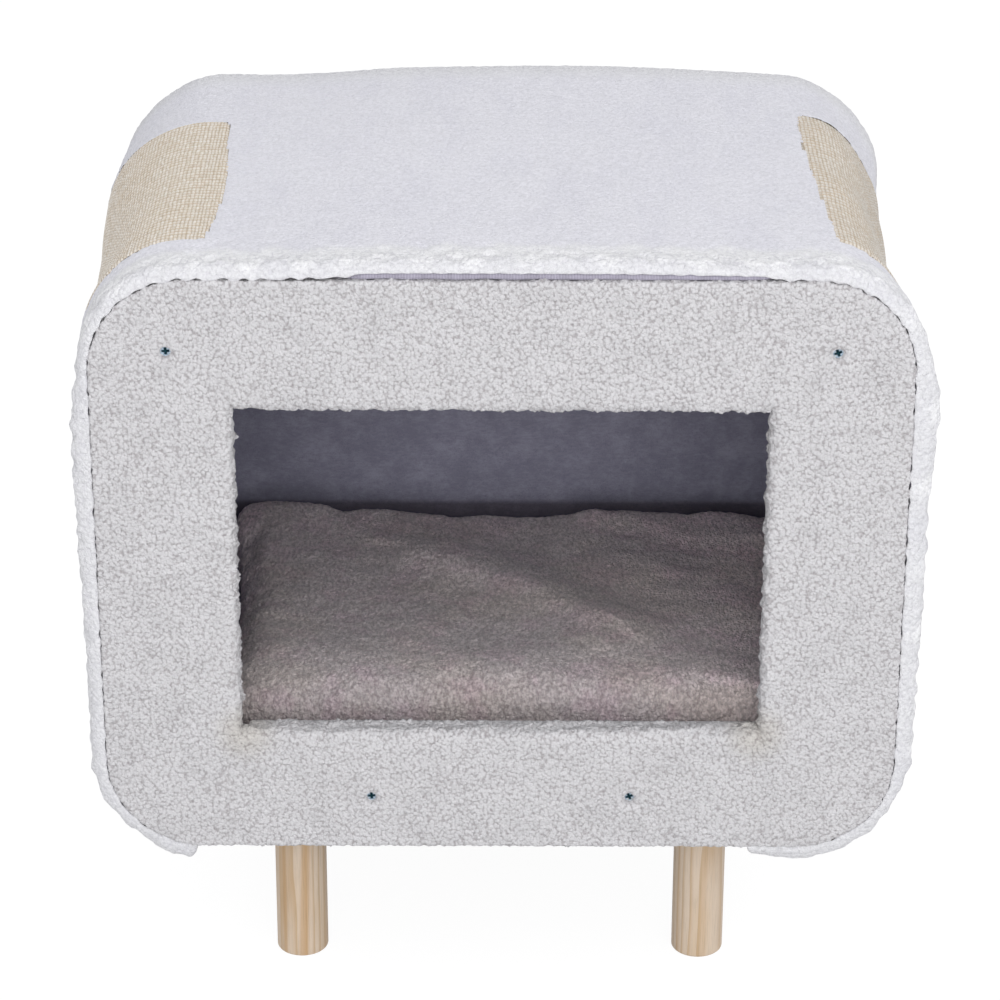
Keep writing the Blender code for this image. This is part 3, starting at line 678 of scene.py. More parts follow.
def curly_pile_finish():
    now = look("pile")
    finish = Finish("light_grey_curly_pile", Roughness=0.95, Sheen_Weight=0.25, Sheen_Roughness=0.6)
    at = finish.place("pile_at")
    crown = curls(at, now.curl)
    fibre = finish.noise(at, 1500, 3, 0.6)
    speckle = finish.noise(at, 560, 3, 0.65)
    # Painted shade: each curl darkens towards its edge and into the gaps between curls.
    tone = finish.mix(tuple(now.gap), tuple(now.crown), (crown * 0.6 + speckle * 0.8).smooth(0.22, 0.86))
    tone = finish.shade(tone, 0.94, finish.noise(at, 60, 3).smooth(0.42, 0.72))
    tone = finish.shade(tone, 0.88, fibre.smooth(0.42, 0.7))
    soiled = finish.mix(tone, tuple(now.soil), finish.amount("soil") * 0.6, "MULTIPLY")
    # Painted shade in the cut corner and the small holes of the entrance.
    finish.feed("Base Color", finish.mix(soiled, tuple(now.cut), finish.amount("nick")))
    finish.relief(crown * 0.5 + speckle * 0.3 + fibre * 0.2, 0.0018, 1.0)
    return finish


def fleece_finish():
    now = look("fleece")
    finish = Finish("white_fleece", Roughness=0.95, Sheen_Weight=0.3, Sheen_Roughness=0.5)
    at, rim = finish.place("pile_at"), finish.amount("rim")
    crown = sided_curls(at, rim, now.curl, now.rim_curl)
    fibre = finish.noise(at, 1300, 3, 0.6)
    tone = finish.mix(tuple(now.crown), tuple(now.rim), rim)
    tone = finish.mix(tone, tuple(now.raised), finish.amount("raised"))
    # Painted shade: the fleece is darker between its tufts.
    between_tufts = finish.mix(tuple(now.gap), tuple(now.rim_gap), rim)
    tone = finish.mix(between_tufts, tone, crown.smooth(-0.05, 0.55))
    # In the fleece this mask is only brushed nap.
    nap_and_painted_light = finish.noise(at * (1, 0.35, 1), 45, 4, 0.6).smooth(0.4, 0.7)
    tone = finish.shade(tone, (0.96, 0.96, 0.972), nap_and_painted_light)
    tone = finish.shade(tone, 0.91, fibre.smooth(0.45, 0.75))
    grain = finish.noise(at, 420, 3, 0.65)
    tone = finish.mix(tone * 1.035, tone * 0.935, grain.smooth(0.40, 0.64))
    finish.feed("Base Color", tone)
    finish.relief(crown * (0.30 + rim * 0.2) + fibre * 0.25 + grain * 0.3, 0.0018, 0.9)
    return finish


def sisal_finish():
    now = look("sisal")
    finish = Finish("cream_sisal", Roughness=0.8, Sheen_Weight=0.08)
    at = finish.place("weave_at")
    sway = finish.noise(at, 130, 2).twin("Color") - 0.5
    along, across, _ = (at + sway * (0.0016, 0.0030, 0)).parts()
    weft = (along * (math.pi / now.cord)).apply("SINE")
    warp = (across * (math.pi / now.over)).apply("SINE")
    over = (weft * warp).smooth(-0.25, 0.25)
    height = weft.apply("ABSOLUTE") * warp.apply("ABSOLUTE")
    fibre_weft = finish.noise(at * (1, 0.12, 1), 2600, 2)
    fibre_warp = finish.noise(at * (0.12, 1, 1), 2600, 2)
    fibre = fibre_weft * over + fibre_warp * (1 - over)
    tone_weft = finish.noise(at * (1, 0.06, 1), 420, 2)
    tone_warp = finish.noise(at * (0.06, 1, 1), 420, 2)
    cord_tone = tone_weft * over + tone_warp * (1 - over)
    tone = finish.mix(tuple(now.pale), tuple(now.tan), cord_tone.smooth(0.42, 0.72))
    # Painted shade where the cords dip between their crossings.
    tone = finish.shade(tone, (0.76, 0.67, 0.56), (1 - height).smooth(0.5, 1.0))
    knot_tone = finish.noise(at * (1, now.cord / now.over, 1), 420, 2).smooth(0.38, 0.66)
    tone = finish.shade(tone, (0.87, 0.84, 0.79), knot_tone)
    tone = finish.mix(tone, tuple(now.speck), finish.noise(at, 700, 2, 0.7).smooth(0.7, 0.82))
    # Painted shade in the groove along the patch's pressed edge.
    tone = finish.shade(tone, (0.90, 0.83, 0.72), finish.amount("edge") * 0.25)
    tone = finish.shade(tone, 0.90, fibre.smooth(0.45, 0.7))
    finish.feed("Base Color", tone)
    finish.relief(height * 0.8 + fibre * 0.2, 0.0010, 1.0)
    return finish


def felt_finish():
    now = look("felt")
    finish = Finish("blue_grey_felt", Roughness=0.97, Sheen_Weight=0.15, Sheen_Roughness=0.6)
    at = finish.place()
    cloudy = finish.noise(at, 55, 5, 0.68)
    streak = finish.noise(at * (1, 1, 2.4), 260, 4, 0.7)
    fibre = finish.noise(at, 1400, 3, 0.7)
    tone = finish.mix(
        tuple(now.felt), tuple(now.felt_pale), (cloudy * 0.55 + streak * 0.45).smooth(0.38, 0.70)
    )
    tone = finish.shade(tone, 0.72, fibre.smooth(0.48, 0.72))
    # Painted shadow: the felt is darkened in a low band where the mat leans on it.
    _, _, up = at.parts()
    tone = finish.shade(tone, (0.5, 0.46, 0.46), up.within(0.170, 0.185, 0.2030, 0.2085))
    finish.feed("Base Color", tone)
    finish.relief(streak * 0.5 + fibre * 0.5, 0.0006, 0.8)
    return finish


def knit_finish():
    now = look("felt")
    finish = Finish("lavender_grey_knit", Roughness=0.9, Sheen_Weight=0.2)
    along, across, _ = finish.place("weave_at").parts()
    rib = ((along * (2 * math.pi / now.rib)).apply("SINE") + 1) * 0.5
    stitch = ((across * (2 * math.pi / (0.8 * now.rib)) + rib * 2).apply("SINE") + 1) * 0.5
    height = rib * 0.75 + stitch * 0.25
    # Painted shade between the ribs and stitches.
    tone = finish.mix(tuple(now.knit_dark), tuple(now.knit), height.smooth(0.1, 0.7))
    tone = finish.shade(tone, 0.85, finish.noise(finish.place("weave_at"), 120, 3).smooth(0.4, 0.7))
    finish.feed("Base Color", tone)
    finish.relief(height, 0.0004, 0.8)
    return finish


def dark_cloth_finish():
    now = look("felt")
    finish = Finish("thin_dark_cloth", Roughness=0.85, Sheen_Weight=0.1)
    at = finish.place()
    dots = finish.cells(at * (1, 1, 0.6), 620)
    cloud = finish.noise(at, 90, 4, 0.6)
    tone = finish.mix(tuple(now.under), tuple(2.6 * part for part in now.under), cloud.smooth(0.4, 0.75))
    tone = finish.shade(tone, 0.45, (1 - dots).smooth(0.55, 0.8))
    finish.feed("Base Color", tone)
    finish.relief(dots * 0.7 + cloud * 0.3, 0.0003, 0.7)
    return finish


def plush_height(at):
    return curls(at, look("mat").tuft, 0.9)


def plush_finish():
    now = look("mat")
    finish = Finish("taupe_plush", Roughness=0.92, Sheen_Weight=0.35, Sheen_Roughness=0.45)
    at = finish.place("pile_at")
    crown = plush_height(at)
    fibre = finish.noise(at, 760, 3, 0.6)
    # Painted shade: each tuft darkens towards its edge and between the tips.
    tone = finish.mix(tuple(now.dark), tuple(now.pale), crown.smooth(0.0, 0.8))
    mauve = finish.noise(at, 38, 3, 0.6)
    tone = finish.shade(tone, (1.0, 0.93, 0.98), mauve.smooth(0.45, 0.65))
    tone = finish.shade(tone, (1.0, 0.99, 0.95), finish.noise(at, 11, 2).smooth(0.45, 0.62))
    right, back, _ = at.parts()
    # A mask for painted light towards the right and the rear of the mat.
    nap_and_painted_light = right.smooth(0.03, 0.17) * 0.7 + back.smooth(-0.09, 0.10) * 0.45
    # Painted light: the mat's left and right edges are lightened where they lie in shade.
    tone = finish.shade(tone, (1.62, 1.60, 1.60), 1 - right.smooth(-0.190, -0.160))
    tone = finish.shade(tone, 1.2, right.smooth(0.120, 0.165))
    strand = finish.noise(at * (1, 0.5, 0.7), 470, 2, 0.6)
    tone = finish.mix(tone * (1.25, 1.245, 1.24), tone * (0.81, 0.80, 0.80), strand.smooth(0.38, 0.63))
    # Painted shade towards the front and left, painted light towards the right and the rear.
    tone = finish.mix(tone * (0.93, 0.935, 0.94), tone * (1.16, 1.13, 1.13), nap_and_painted_light.min(1.0))
    tone = finish.shade(tone, (0.88, 0.88, 0.87), finish.noise(at, 170, 3, 0.65).smooth(0.45, 0.7))
    tone = finish.shade(tone, 0.84, fibre.smooth(0.45, 0.72))
    finish.feed("Base Color", tone)
    finish.relief(crown * 0.35 + fibre * 0.25 + strand * 0.4, 0.0022, 1.0)
    return finish


def pine_finish(name, attribute=None):
    """Pine sawn and turned along Z for the legs, or along Y for a batten, whose own coordinates are used."""
    now = look("wood")
    finish = Finish(name, Coat_Weight=0.0, Specular_IOR_Level=0.35)
    at = finish.place(attribute)
    if attribute is None:
        x, y, z = at.parts()
        at = finish.node("ShaderNodeCombineXYZ", {}, {"X": x + 0.03, "Y": z - 0.30, "Z": y})
    sway = finish.noise(at * (1, 1, 0.16), 26, 2).twin("Color") - 0.5
    x, y, z = (at + sway * (0.016, 0.016, 0)).parts()
    radius = ((x * x + y * y) ** 0.5) / now.ring
    turn = radius.apply("FRACT")
    late = turn.within(0.45, 0.93, 0.93, 1.0)
    fibre = finish.noise(at * (1, 1, 0.035), 1500, 3, 0.6)
    pores = finish.noise(at * (1, 1, 0.06), 3800, 2)
    tone = finish.mix(tuple(now.pale), tuple(now.dark), late * 0.75)
    if attribute:
        tone = finish.mix(tone, tuple(now.streak), finish.amount("streak"))
    tone = finish.shade(tone, (0.93, 0.89, 0.82), finish.noise(at * (1, 1, 0.2), 60, 3).smooth(0.4, 0.7))
    tone = finish.shade(tone, 0.86, fibre.smooth(0.45, 0.75))
    tone = finish.shade(tone, 0.7, pores.smooth(0.66, 0.78) * 0.6)
    finish.feed("Base Color", tone)
    finish.feed("Roughness", 0.5 + fibre * 0.2 - late * 0.08)
    finish.relief(fibre * 0.6 + late * 0.4, 0.00025, 0.6)
    return finish


def board_finish(name, tone, dark_share):
    finish = Finish(name, Specular_IOR_Level=0.3)
    at = finish.place()
    chips = finish.cells(at * (1, 2.2, 1), 900)
    cloud = finish.noise(at, 160, 4, 0.65)
    base = finish.mix(tone, tuple(dark_share * part for part in tone), cloud.smooth(0.35, 0.7))
    base = finish.shade(base, 0.7, chips.smooth(0.5, 0.8))
    finish.feed("Base Color", base)
    finish.feed("Roughness", 0.7 + cloud * 0.2)
    finish.relief(chips * 0.5 + cloud * 0.5, 0.0002, 0.5)
    return finish


def zinc_finish():
    finish = Finish("blue_zinc_plate", Metallic=1.0)
    at = finish.place()
    cloud = finish.noise(at, 900, 3, 0.6)
    base = tuple(look("wood").zinc)
    tone = finish.mix(base, tuple(part * 0.62 for part in base), cloud.smooth(0.4, 0.7))
    tone = finish.mix(tone, (0.62, 0.60, 0.52), finish.noise(at, 420, 2).smooth(0.58, 0.75))
    # Painted shade in the screws' cross recesses.
    finish.feed("Base Color", finish.mix(tone, (0.012, 0.035, 0.045), finish.amount("recess")))
    finish.feed("Roughness", 0.24 + cloud * 0.2)
    finish.relief(cloud, 0.00006, 0.5)
    return finish


# Pieces

SCREWS = ((-0.202, 0.465), (0.202, 0.465), (-0.082, 0.1574), (0.082, 0.1574))
# The cut corner of the entrance's cloth and two small holes beside the other corner: place, reach and push.
# The pile in them is painted dark: painted shade, over the board seen through the cut.
CUTS = (
    ((-0.1612, -0.1610, 0.2052), (0.0044, 0.0070, 0.0050), (-0.0010, -0.0034)),
    ((-0.1625, -0.1615, 0.2090), (0.0036, 0.0062, 0.0044), (-0.0012, -0.0010)),
    ((0.1594, -0.1620, 0.2054), (0.0016, 0.0020, 0.0016), (0.0, -0.0014)),
    ((0.1552, -0.1650, 0.2054), (0.0014, 0.0016, 0.0014), (0.0, -0.0010)),
)


# How far the thick pile moves each edge of the entrance to the left, or up, from the straight cut.
DOOR_SHIFT = {"left": 0.0012, "right": -0.0008, "top": -0.0020, "sill": 0.0010}


def near_door(place):
    """Whether a place on the front board is in the entrance or close to it."""
    margin = 0.01
    return abs(place.x) < ENTRANCE_HALF + margin and ENTRANCE_LOW - margin < place.z < ENTRANCE_HIGH + margin


def pile_blank(end_name, face_y, inner_y):
    """The cover's rough form: a plate whose rim and whose entrance are rounded on the outer face."""
    inset = 0.0009
    outlines = [rounded_outline(inset)] + ([entrance_outline(inset)] if end_name == "front" else [])
    bm = plate_bmesh(outlines, face_y, inner_y)
    for round_off, at_door in ((0.0034, False), (0.0056, True)):
        rim = [
            edge
            for edge in bm.edges
            if all(abs(vert.co.y - face_y) < 1e-6 for vert in edge.verts)
            and edge.calc_face_angle(0) > 0.8
            and all(near_door(vert.co) for vert in edge.verts) == at_door
        ]
        if rim:
            bmesh.ops.bevel(
                bm, geom=rim, offset=round_off, segments=4, profile=0.5, affect="EDGES", clamp_overlap=True
            )
    return bmesh_piece(f"{end_name}_pile_cover", bm)


def open_back(piece, inner_y, with_door):
    """Leaves only the strip that is turned in over the board's inner face."""
    strip = 0.0165
    with edited(piece) as bm:
        middles = np.array([face.calc_center_median() for face in bm.faces])
        from_rim, from_door = edge_distance(middles[:, 0], middles[:, 2])
        hidden = (np.abs(middles[:, 1] - inner_y) < 0.0011) & (from_rim > strip)
        if with_door:
            hidden &= from_door > strip
        gone = [face for face, unseen in zip(bm.faces, hidden) if unseen]
        bmesh.ops.delete(bm, geom=gone, context="FACES")


def door_push(at):
    """How far the pile along the entrance's edges moves in x and z from the straight cut."""
    beside = 1 - between(edge_distance(at[:, 0], at[:, 2])[1], 0.0015, 0.0120)
    level = (at[:, 2] > ENTRANCE_LOW) & (at[:, 2] < ENTRANCE_HIGH)
    across = np.abs(at[:, 0]) < ENTRANCE_HALF
    upper = at[:, 2] > (ENTRANCE_LOW + ENTRANCE_HIGH) / 2
    push_x = -beside * level * np.where(at[:, 0] < 0, DOOR_SHIFT["left"], DOOR_SHIFT["right"])
    return push_x, beside * across * np.where(upper, DOOR_SHIFT["top"], DOOR_SHIFT["sill"])


def make_pile_cover(end_name, finish):
    """The curly cloth over one board: over its face and rim, into the entrance and onto its inner face."""
    now = look("pile")
    end, with_door = ENDS[end_name], end_name == "front"
    face_y, inner_y = end * (PILE_FACE - 0.0007), end * (INNER_PLANE + 0.0012)
    piece = pile_blank(end_name, face_y, inner_y)
    remesh(piece, now.mesh * (1.0 if with_door else 1.2))
    open_back(piece, inner_y, with_door)

    at = places(piece)
    x, y, z = at.T
    depth = np.full(len(at), now.relief)
    flat = np.abs(y - face_y) < 0.0012
    depth[~flat] *= 1.3 + 0.9 * uneven(at[~flat], 0.006, 6)
    depth[np.abs(y - inner_y) < 0.002] = 0.0003
    near_screw = np.min([np.hypot(x - across, z - high) for across, high in SCREWS], axis=0)
    on_face = np.abs(y - face_y) < 0.003
    dent = on_face * (1 - between(near_screw, 0.0030, 0.0075))
    pit = on_face * (1 - between(near_screw, 0.0023, 0.0043))
    y = y - end * (0.0014 * dent + 0.0044 * pit)
    depth = depth * (1 - 0.9 * pit) * (1 - 0.3 * dent)
    soil, nick = np.zeros(len(at)), np.zeros(len(at))
    if with_door:
        for side in SIDES.values():
            corner = np.hypot(x - side * (ENTRANCE_HALF - 0.001), z - ENTRANCE_LOW)
            soil = np.maximum(soil, 1 - between(corner, 0.004, 0.026))
        # Each cut is pressed in, and its pile is marked for painted shade.
        for spot, reach, push in CUTS:
            near = 1 - between(np.linalg.norm((at - spot) / reach, axis=1), 0.55, 1.0)
            nick = np.maximum(nick, near)
            x, z = x + near * push[0], z + near * push[1]
        push_x, push_z = door_push(at)
        x, z = x + push_x, z + push_z
    depth = depth * (1 - 0.8 * nick)
    y = y + end * on_face * 0.00035 * uneven(at[:, [0, 2]], 0.035, 5)
    z = z - 0.0013 * (1 - between(z - BODY_BOTTOM, 0.0, 0.008))
    move_to(piece, np.stack([x, y, z], -1))
    for name, values in (("soil", soil), ("nick", nick), ("pile_depth", depth)):
        keep(piece, name, values)
    raise_pile(piece, lambda place, amount: curls(place, 1.3 * now.curl))
    settle(piece, HOUSE, "curly_pile", finish, f"{end_name}_cover")


def sisal_frame(along, y):
    """How far a place is inside the nearer sisal patch's edge, negative outside it."""
    best = np.full(np.shape(along), -1.0)
    for side_name, side in SIDES.items():
        ys, near = SISAL_EDGE[side_name]
        run = side * along
        u = np.maximum(np.interp(y, ys, near) - run, run - SISAL_END[side_name])
        v = np.maximum(ys[0] - y, y - ys[-1])
        over = np.maximum(np.stack([u, v], -1) + SISAL_CORNER, 0)
        rounded = np.where((over > 0).all(-1), np.linalg.norm(over, axis=-1) - SISAL_CORNER, np.maximum(u, v))
        best = np.maximum(best, -rounded)
    return best


def fleece_slack(along, y):
    """The loose fleece: low hills, full front edges beside the entrance and thick hanging ends."""
    now = look("fleece")
    out = now.slack * 0.45 * uneven(np.stack([along, y], -1), 0.11, 11) - 0.0006
    front = 1 - between(y + SLEEVE_EDGE, 0.004, 0.045)
    for side_name, side in SIDES.items():
        down = side * along - FLAT_TOP - BEND
        full = between(down, -0.030, 0.005) * (1 - between(down, FLAT_SIDE - 0.02, FLAT_SIDE + 0.03))
        if side_name == "right":
            swell = 0.0030 * full + 0.0042 * hill(down, 0.030, 0.04)
            swell = swell - 0.0026 * hill(down, -0.010, 0.020)
        else:
            corner = -0.0050 * hill(down, -0.002, 0.026)
            swell = (0.0034 - 0.0028 * np.clip(down / 0.22, 0, 1)) * full + corner
        out = out + front * swell
        back_corner = between(y, 0.05, 0.16) * hill(down, -0.052, 0.026)
        out = out - 0.0034 * back_corner
    bumps = uneven(np.stack([along, y], -1), 0.0065, 15)
    loose = 1 - between(along - LOOSE_LEFT, 0.0, 0.030)
    out = out + 0.0048 * loose + bumps * (0.0008 * front + 0.0009 * loose)
    low_right = between(SLEEVE_RIGHT - along, 0.0, 0.02) * (1 - between(SLEEVE_RIGHT - along, 0.045, 0.08))
    out = out + 0.0024 * low_right
    inside = sisal_frame(along, y)
    tucked = 0.0003 * between(inside, -0.0010, 0.0014)
    return np.maximum(out * (1 - between(inside, -0.012, -0.002)), -0.0030) - tucked


def make_fleece(finish):
    """The fleece over the sleeve, rounded onto its edges and ends, with windows for the sisal."""
    now = look("fleece")
    radius = 0.0074
    lap_y = SLEEVE_EDGE - 0.0014
    corner = [
        (
            FLEECE_OUT - 0.0008 - radius + radius * math.sin(angle),
            SLEEVE_EDGE - 0.0006 - radius + radius * math.cos(angle),
        )
        for angle in np.linspace(0.12, math.pi / 2, 9)
    ]
    edge = [(SHEET_IN - 0.0004, lap_y), (SHEET_IN - 0.0001, lap_y + 0.0006), *corner]
    half = edge[-1][1]
    rim_band = 0.020
    band = spaced(half - rim_band, half, 0.0016)[:-1]
    flat = spaced(-(half - rim_band), half - rim_band, 0.0023)[1:-1]
    top_out = edge[-1][0]
    section = [(out, -y) for out, y in edge]
    section += [(top_out, -y) for y in band[::-1]]
    section += [(top_out, y) for y in flat]
    section += [(top_out, y) for y in band]
    section += [(out, y) for out, y in edge[::-1]]
    section = np.array(section)
    turn = np.linspace(0, math.pi / 2, 6)[1:]
    ends = 0.0042 * np.sin(turn)
    run = spaced(LOOSE_LEFT, SLEEVE_RIGHT, 0.0021)
    distances = np.concatenate([LOOSE_LEFT - ends[::-1], run, SLEEVE_RIGHT + ends])
    rounded = np.ones(len(distances))
    rounded[: len(turn)], rounded[-len(turn):] = np.cos(turn[::-1]), np.cos(turn)
    fullness = np.repeat(rounded, len(section))

    def change(along, out, y):
        weight = np.clip((out - SHEET_IN) / (top_out - SHEET_IN), 0, 1)
        ragged = 0.0005 * uneven(along[:, None], 0.007, 13)
        lap = (1 - weight) * ((1 - knit_shows(along)) * (0.0021 + ragged) + 0.4 * ragged)
        thick = (out - SHEET_IN + fleece_slack(along, y) * weight) * fullness
        return SHEET_IN + thick - lap + bow(along, y)

    points, along, y = wrap(distances, section, change)
    start = points[:, 1] < 0
    rim = np.where(start, 1 - between(points[:, 1] + SLEEVE_EDGE, 0.012, 0.032), 0.0)
    rim = np.maximum(rim, 1 - between(SLEEVE_EDGE - points[:, 1], 0.008, 0.040))
    rim = np.maximum(rim, 1 - between(along - LOOSE_LEFT, 0.004, 0.02))
    rim = np.maximum(rim, 1 - between(SLEEVE_RIGHT - along, 0.004, 0.02))
    middle_s = cell_middles(distances)
    middle_y = cell_middles(section[:, 1])
    on_top = np.abs(middle_y) < half - 0.006
    inside = sisal_frame(*np.meshgrid(middle_s, middle_y, indexing="ij"))
    kept = ~((inside > 0.0016) & on_top[None, :])
    piece = mesh_piece("fleece_wrap", points, facing_out(len(distances), len(section), kept))
    depth = now.relief * (1 - rim) + now.rim_relief * rim
    from_edge = np.minimum(np.arange(len(section)), len(section) - 1 - np.arange(len(section)))
    depth = depth * np.tile(between(from_edge, 0.0, 4.0), len(distances))
    keep(piece, "rim", rim)
    inward = points[:, 1] + SLEEVE_EDGE + 0.003 * uneven(along[:, None], 0.02, 17)
    keep(piece, "raised", between(inward, 0.003, 0.009) * (1 - between(inward, 0.020, 0.032)))
    keep(piece, "pile_depth", depth)
    drop_loose(piece)
    base_area = sum(face.area for face in piece.data.polygons)
    sizes = 1.6 * now.curl, 1.3 * now.rim_curl
    raise_pile(piece, lambda place, amount: sided_curls(place, amount("rim"), *sizes))
    settle(piece, HOUSE, "white_fleece", finish, "fleece_cover")
    wide, deep = SLEEVE_RIGHT - SLEEVE_LEFT + 0.07, 2 * SLEEVE_EDGE + 0.03
    area = min(base_area, wide * deep)


def make_sisal(side_name, finish):
    """One woven patch, whose mesh has two cells across a cord and four along a crossing."""
    now = look("sisal")
    side = SIDES[side_name]
    cell, tall_cell = now.cord / 2, now.over / 4
    ys, near = SISAL_EDGE[side_name]
    start, long, wide = min(near), SISAL_END[side_name] - min(near), ys[-1] - ys[0]
    rows, columns = int(round(long / cell)) + 1, int(round(wide / tall_cell)) + 1
    distances = side * (start + np.arange(rows) * cell)
    depths = ys[0] + np.arange(columns) * tall_cell
    along = np.repeat(distances, columns)
    y = np.tile(depths, rows)
    inside = sisal_frame(along, y)
    pressed = 1 - between(inside, 0.0, 0.0034)
    i, j = np.repeat(np.arange(rows), columns), np.tile(np.arange(columns), rows)
    weave = (i % 2 + np.array((0, 0.7, 1, 0.7))[j % 4]) / 2
    out = FLEECE_OUT - 0.0002 - 0.0012 * pressed + now.relief * (weave - 0.5)
    out += 0.0005 * uneven(np.stack([along, y], -1), 0.05, 21 + side) + bow(along, y)
    flat = outline_at(along, out)
    points = np.stack([flat[:, 0], y, flat[:, 1]], -1)
    middle = cell_middles(distances), cell_middles(depths)
    dice = np.random.default_rng(31 + side)
    frayed = 0.0002 + 0.0006 * dice.random((rows - 1, columns - 1))
    kept = sisal_frame(*np.meshgrid(*middle, indexing="ij")) > frayed
    piece = mesh_piece(f"sisal_mat_{side_name}", points, grid_faces(rows, columns, kept))
    keep(piece, "weave_at", np.stack([i * cell, j * tall_cell, 0 * y], -1))
    keep(piece, "edge", pressed)
    drop_loose(piece)
    settle(piece, HOUSE, "sisal", finish, f"sisal_patch_{side_name}")


def make_hem(end_name, finish):
    """The knit strip inside the sleeve's edge, turned over on itself along the edge."""
    end = ENDS[end_name]
    edge, inner = SLEEVE_EDGE - 0.0018, -HEM_HIGH.y
    section = [(HEM_IN, inner), (HEM_IN, edge - 0.004), (HEM_IN, edge - 0.0008)]
    middle = (HEM_IN + HEM_OUT) / 2
    section += [(HEM_IN + 0.0004, edge - 0.0001), (middle, edge), (HEM_OUT - 0.0004, edge - 0.0001)]
    section += [(HEM_OUT, edge - 0.0008), (HEM_OUT, edge - 0.006), (HEM_OUT, edge - 0.014), (HEM_OUT, inner)]
    section = np.array([(out, end * y) for out, y in section])
    distances = spaced(LOOSE_LEFT, SLEEVE_RIGHT, 0.004)
    recess = 0.0012 if end > 0 else 0.0030

    def change(along, out, y):
        loose = between(np.abs(y), edge - 0.012, edge)
        outer = (out - HEM_IN) / (HEM_OUT - HEM_IN)
        warp = bow(along, y)
        free = 1 - between(np.abs(y), INNER_PLANE - 0.010, INNER_PLANE - 0.002)
        out = out + np.where(warp > 0, warp * np.maximum(outer, free), warp)
        return out + loose * (0.0002 + 0.0003 * uneven(along[:, None], 0.02, 41 + end))

    points, along, y = wrap(distances, section, change)
    frilled = 0.0003 * uneven(along[:, None], 0.015, 43) - (1 - knit_shows(along)) * recess
    points[:, 1] += end * frilled * between(np.abs(y), edge - 0.012, edge)
    faces = grid_faces(len(distances), len(section))
    if end < 0:
        faces = [face[::-1] for face in faces]
    piece = mesh_piece(f"knit_hem_{end_name}", points, faces)
    keep(piece, "weave_at", np.stack([along, y, 0 * y], -1))
    settle(piece, HOUSE, "knit_hem", finish, f"sleeve_hem_{end_name}")
    SLEEVE_RIGHT - SLEEVE_LEFT
    2 * (edge - inner) + HEM_OUT - HEM_IN


def thicken(piece, thickness):
    """Makes a closed cloth of a single surface, which becomes its outer side."""
    modify(piece, "SOLIDIFY", thickness=thickness, offset=-1)
    apply_modifiers(piece)
    piece.data.shade_smooth()


def sleeve_layer(name, out, ys, step, thickness):
    """A layer of the sleeve, whose outer side is this far outside the boards' outline."""
    distances = spaced(LOOSE_LEFT, SLEEVE_RIGHT, step)
    points, _, _ = wrap(distances, np.array([(out, y) for y in ys]), stand_off)
    piece = mesh_piece(name, points, facing_out(len(distances), len(ys)))
    thicken(piece, thickness)
    return piece


def make_sheet(finish):
    """The bent hardboard of the sleeve, with the warp that its covers show."""
    low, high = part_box("sleeve_sheet")
    thickness = high.x - HALF_WIDTH - SHEET_IN
    ys = spaced(low.y + 0.0030, high.y - 0.0030, 0.006)
    piece = sleeve_layer("bent_sheet", SHEET_IN + thickness, ys, 0.004, thickness)
    settle(piece, HOUSE, "hardboard", finish, "sleeve_sheet")


def make_sleeve_felt(finish):
    """The felt that lines the sleeve. It is seen from inside the house."""
    edge = -HEM_HIGH.y - 0.0003
    piece = sleeve_layer("sleeve_felt", HEM_OUT, spaced(-edge, edge, 0.006), 0.006, HEM_OUT - HEM_IN)
    settle(piece, HOUSE, "grey_felt", finish, "sleeve_lining")
    SLEEVE_RIGHT - SLEEVE_LEFT


def make_wall_felt(end_name, finish):
    """The felt on the inner face of one board, let in between the turned-in edges of its cover."""
    end = ENDS[end_name]
    low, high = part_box(f"{end_name}_lining")
    inset = 0.0163
    outlines = [rounded_outline(inset)] + ([entrance_outline(inset)] if end_name == "front" else [])
    bm = plate_bmesh(outlines, end * INNER_PLANE, end * (INNER_PLANE + high.y - low.y))
    bmesh.ops.triangulate(bm, faces=bm.faces)
    piece = bmesh_piece(f"{end_name}_wall_felt", bm)
    remesh(piece, 0.0035 if end_name == "front" else 0.0022)
    at = places(piece)
    flat = at[:, [0, 2]]
    shown = np.abs(at[:, 1] - end * INNER_PLANE) < 0.0012
    waves = 0.6 + uneven(flat, 0.012, 51) * 0.5 + 0.4 * uneven(flat, 0.09, 52)
    at[:, 1] -= end * shown * 0.00035 * waves
    move_to(piece, at)
    piece.data.shade_smooth()
    settle(piece, HOUSE, "grey_felt", finish, f"{end_name}_lining")


def make_floor_felt(finish):
    """The felt on the floor board, which lies a little uneven."""
    low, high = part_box("floor_lining")
    xs, ys = spaced(low.x, high.x, 0.006), spaced(low.y, high.y, 0.006)
    x, y = grid(xs, ys)
    top = high.z - 0.0002 + 0.0002 * uneven(np.stack([x, y], -1), 0.03, 61)
    piece = mesh_piece("floor_felt", np.stack([x, y, top], -1), facing_out(len(xs), len(ys)))
    thicken(piece, high.z - low.z - 0.0004)
    settle(piece, HOUSE, "grey_felt", finish, "floor_lining")


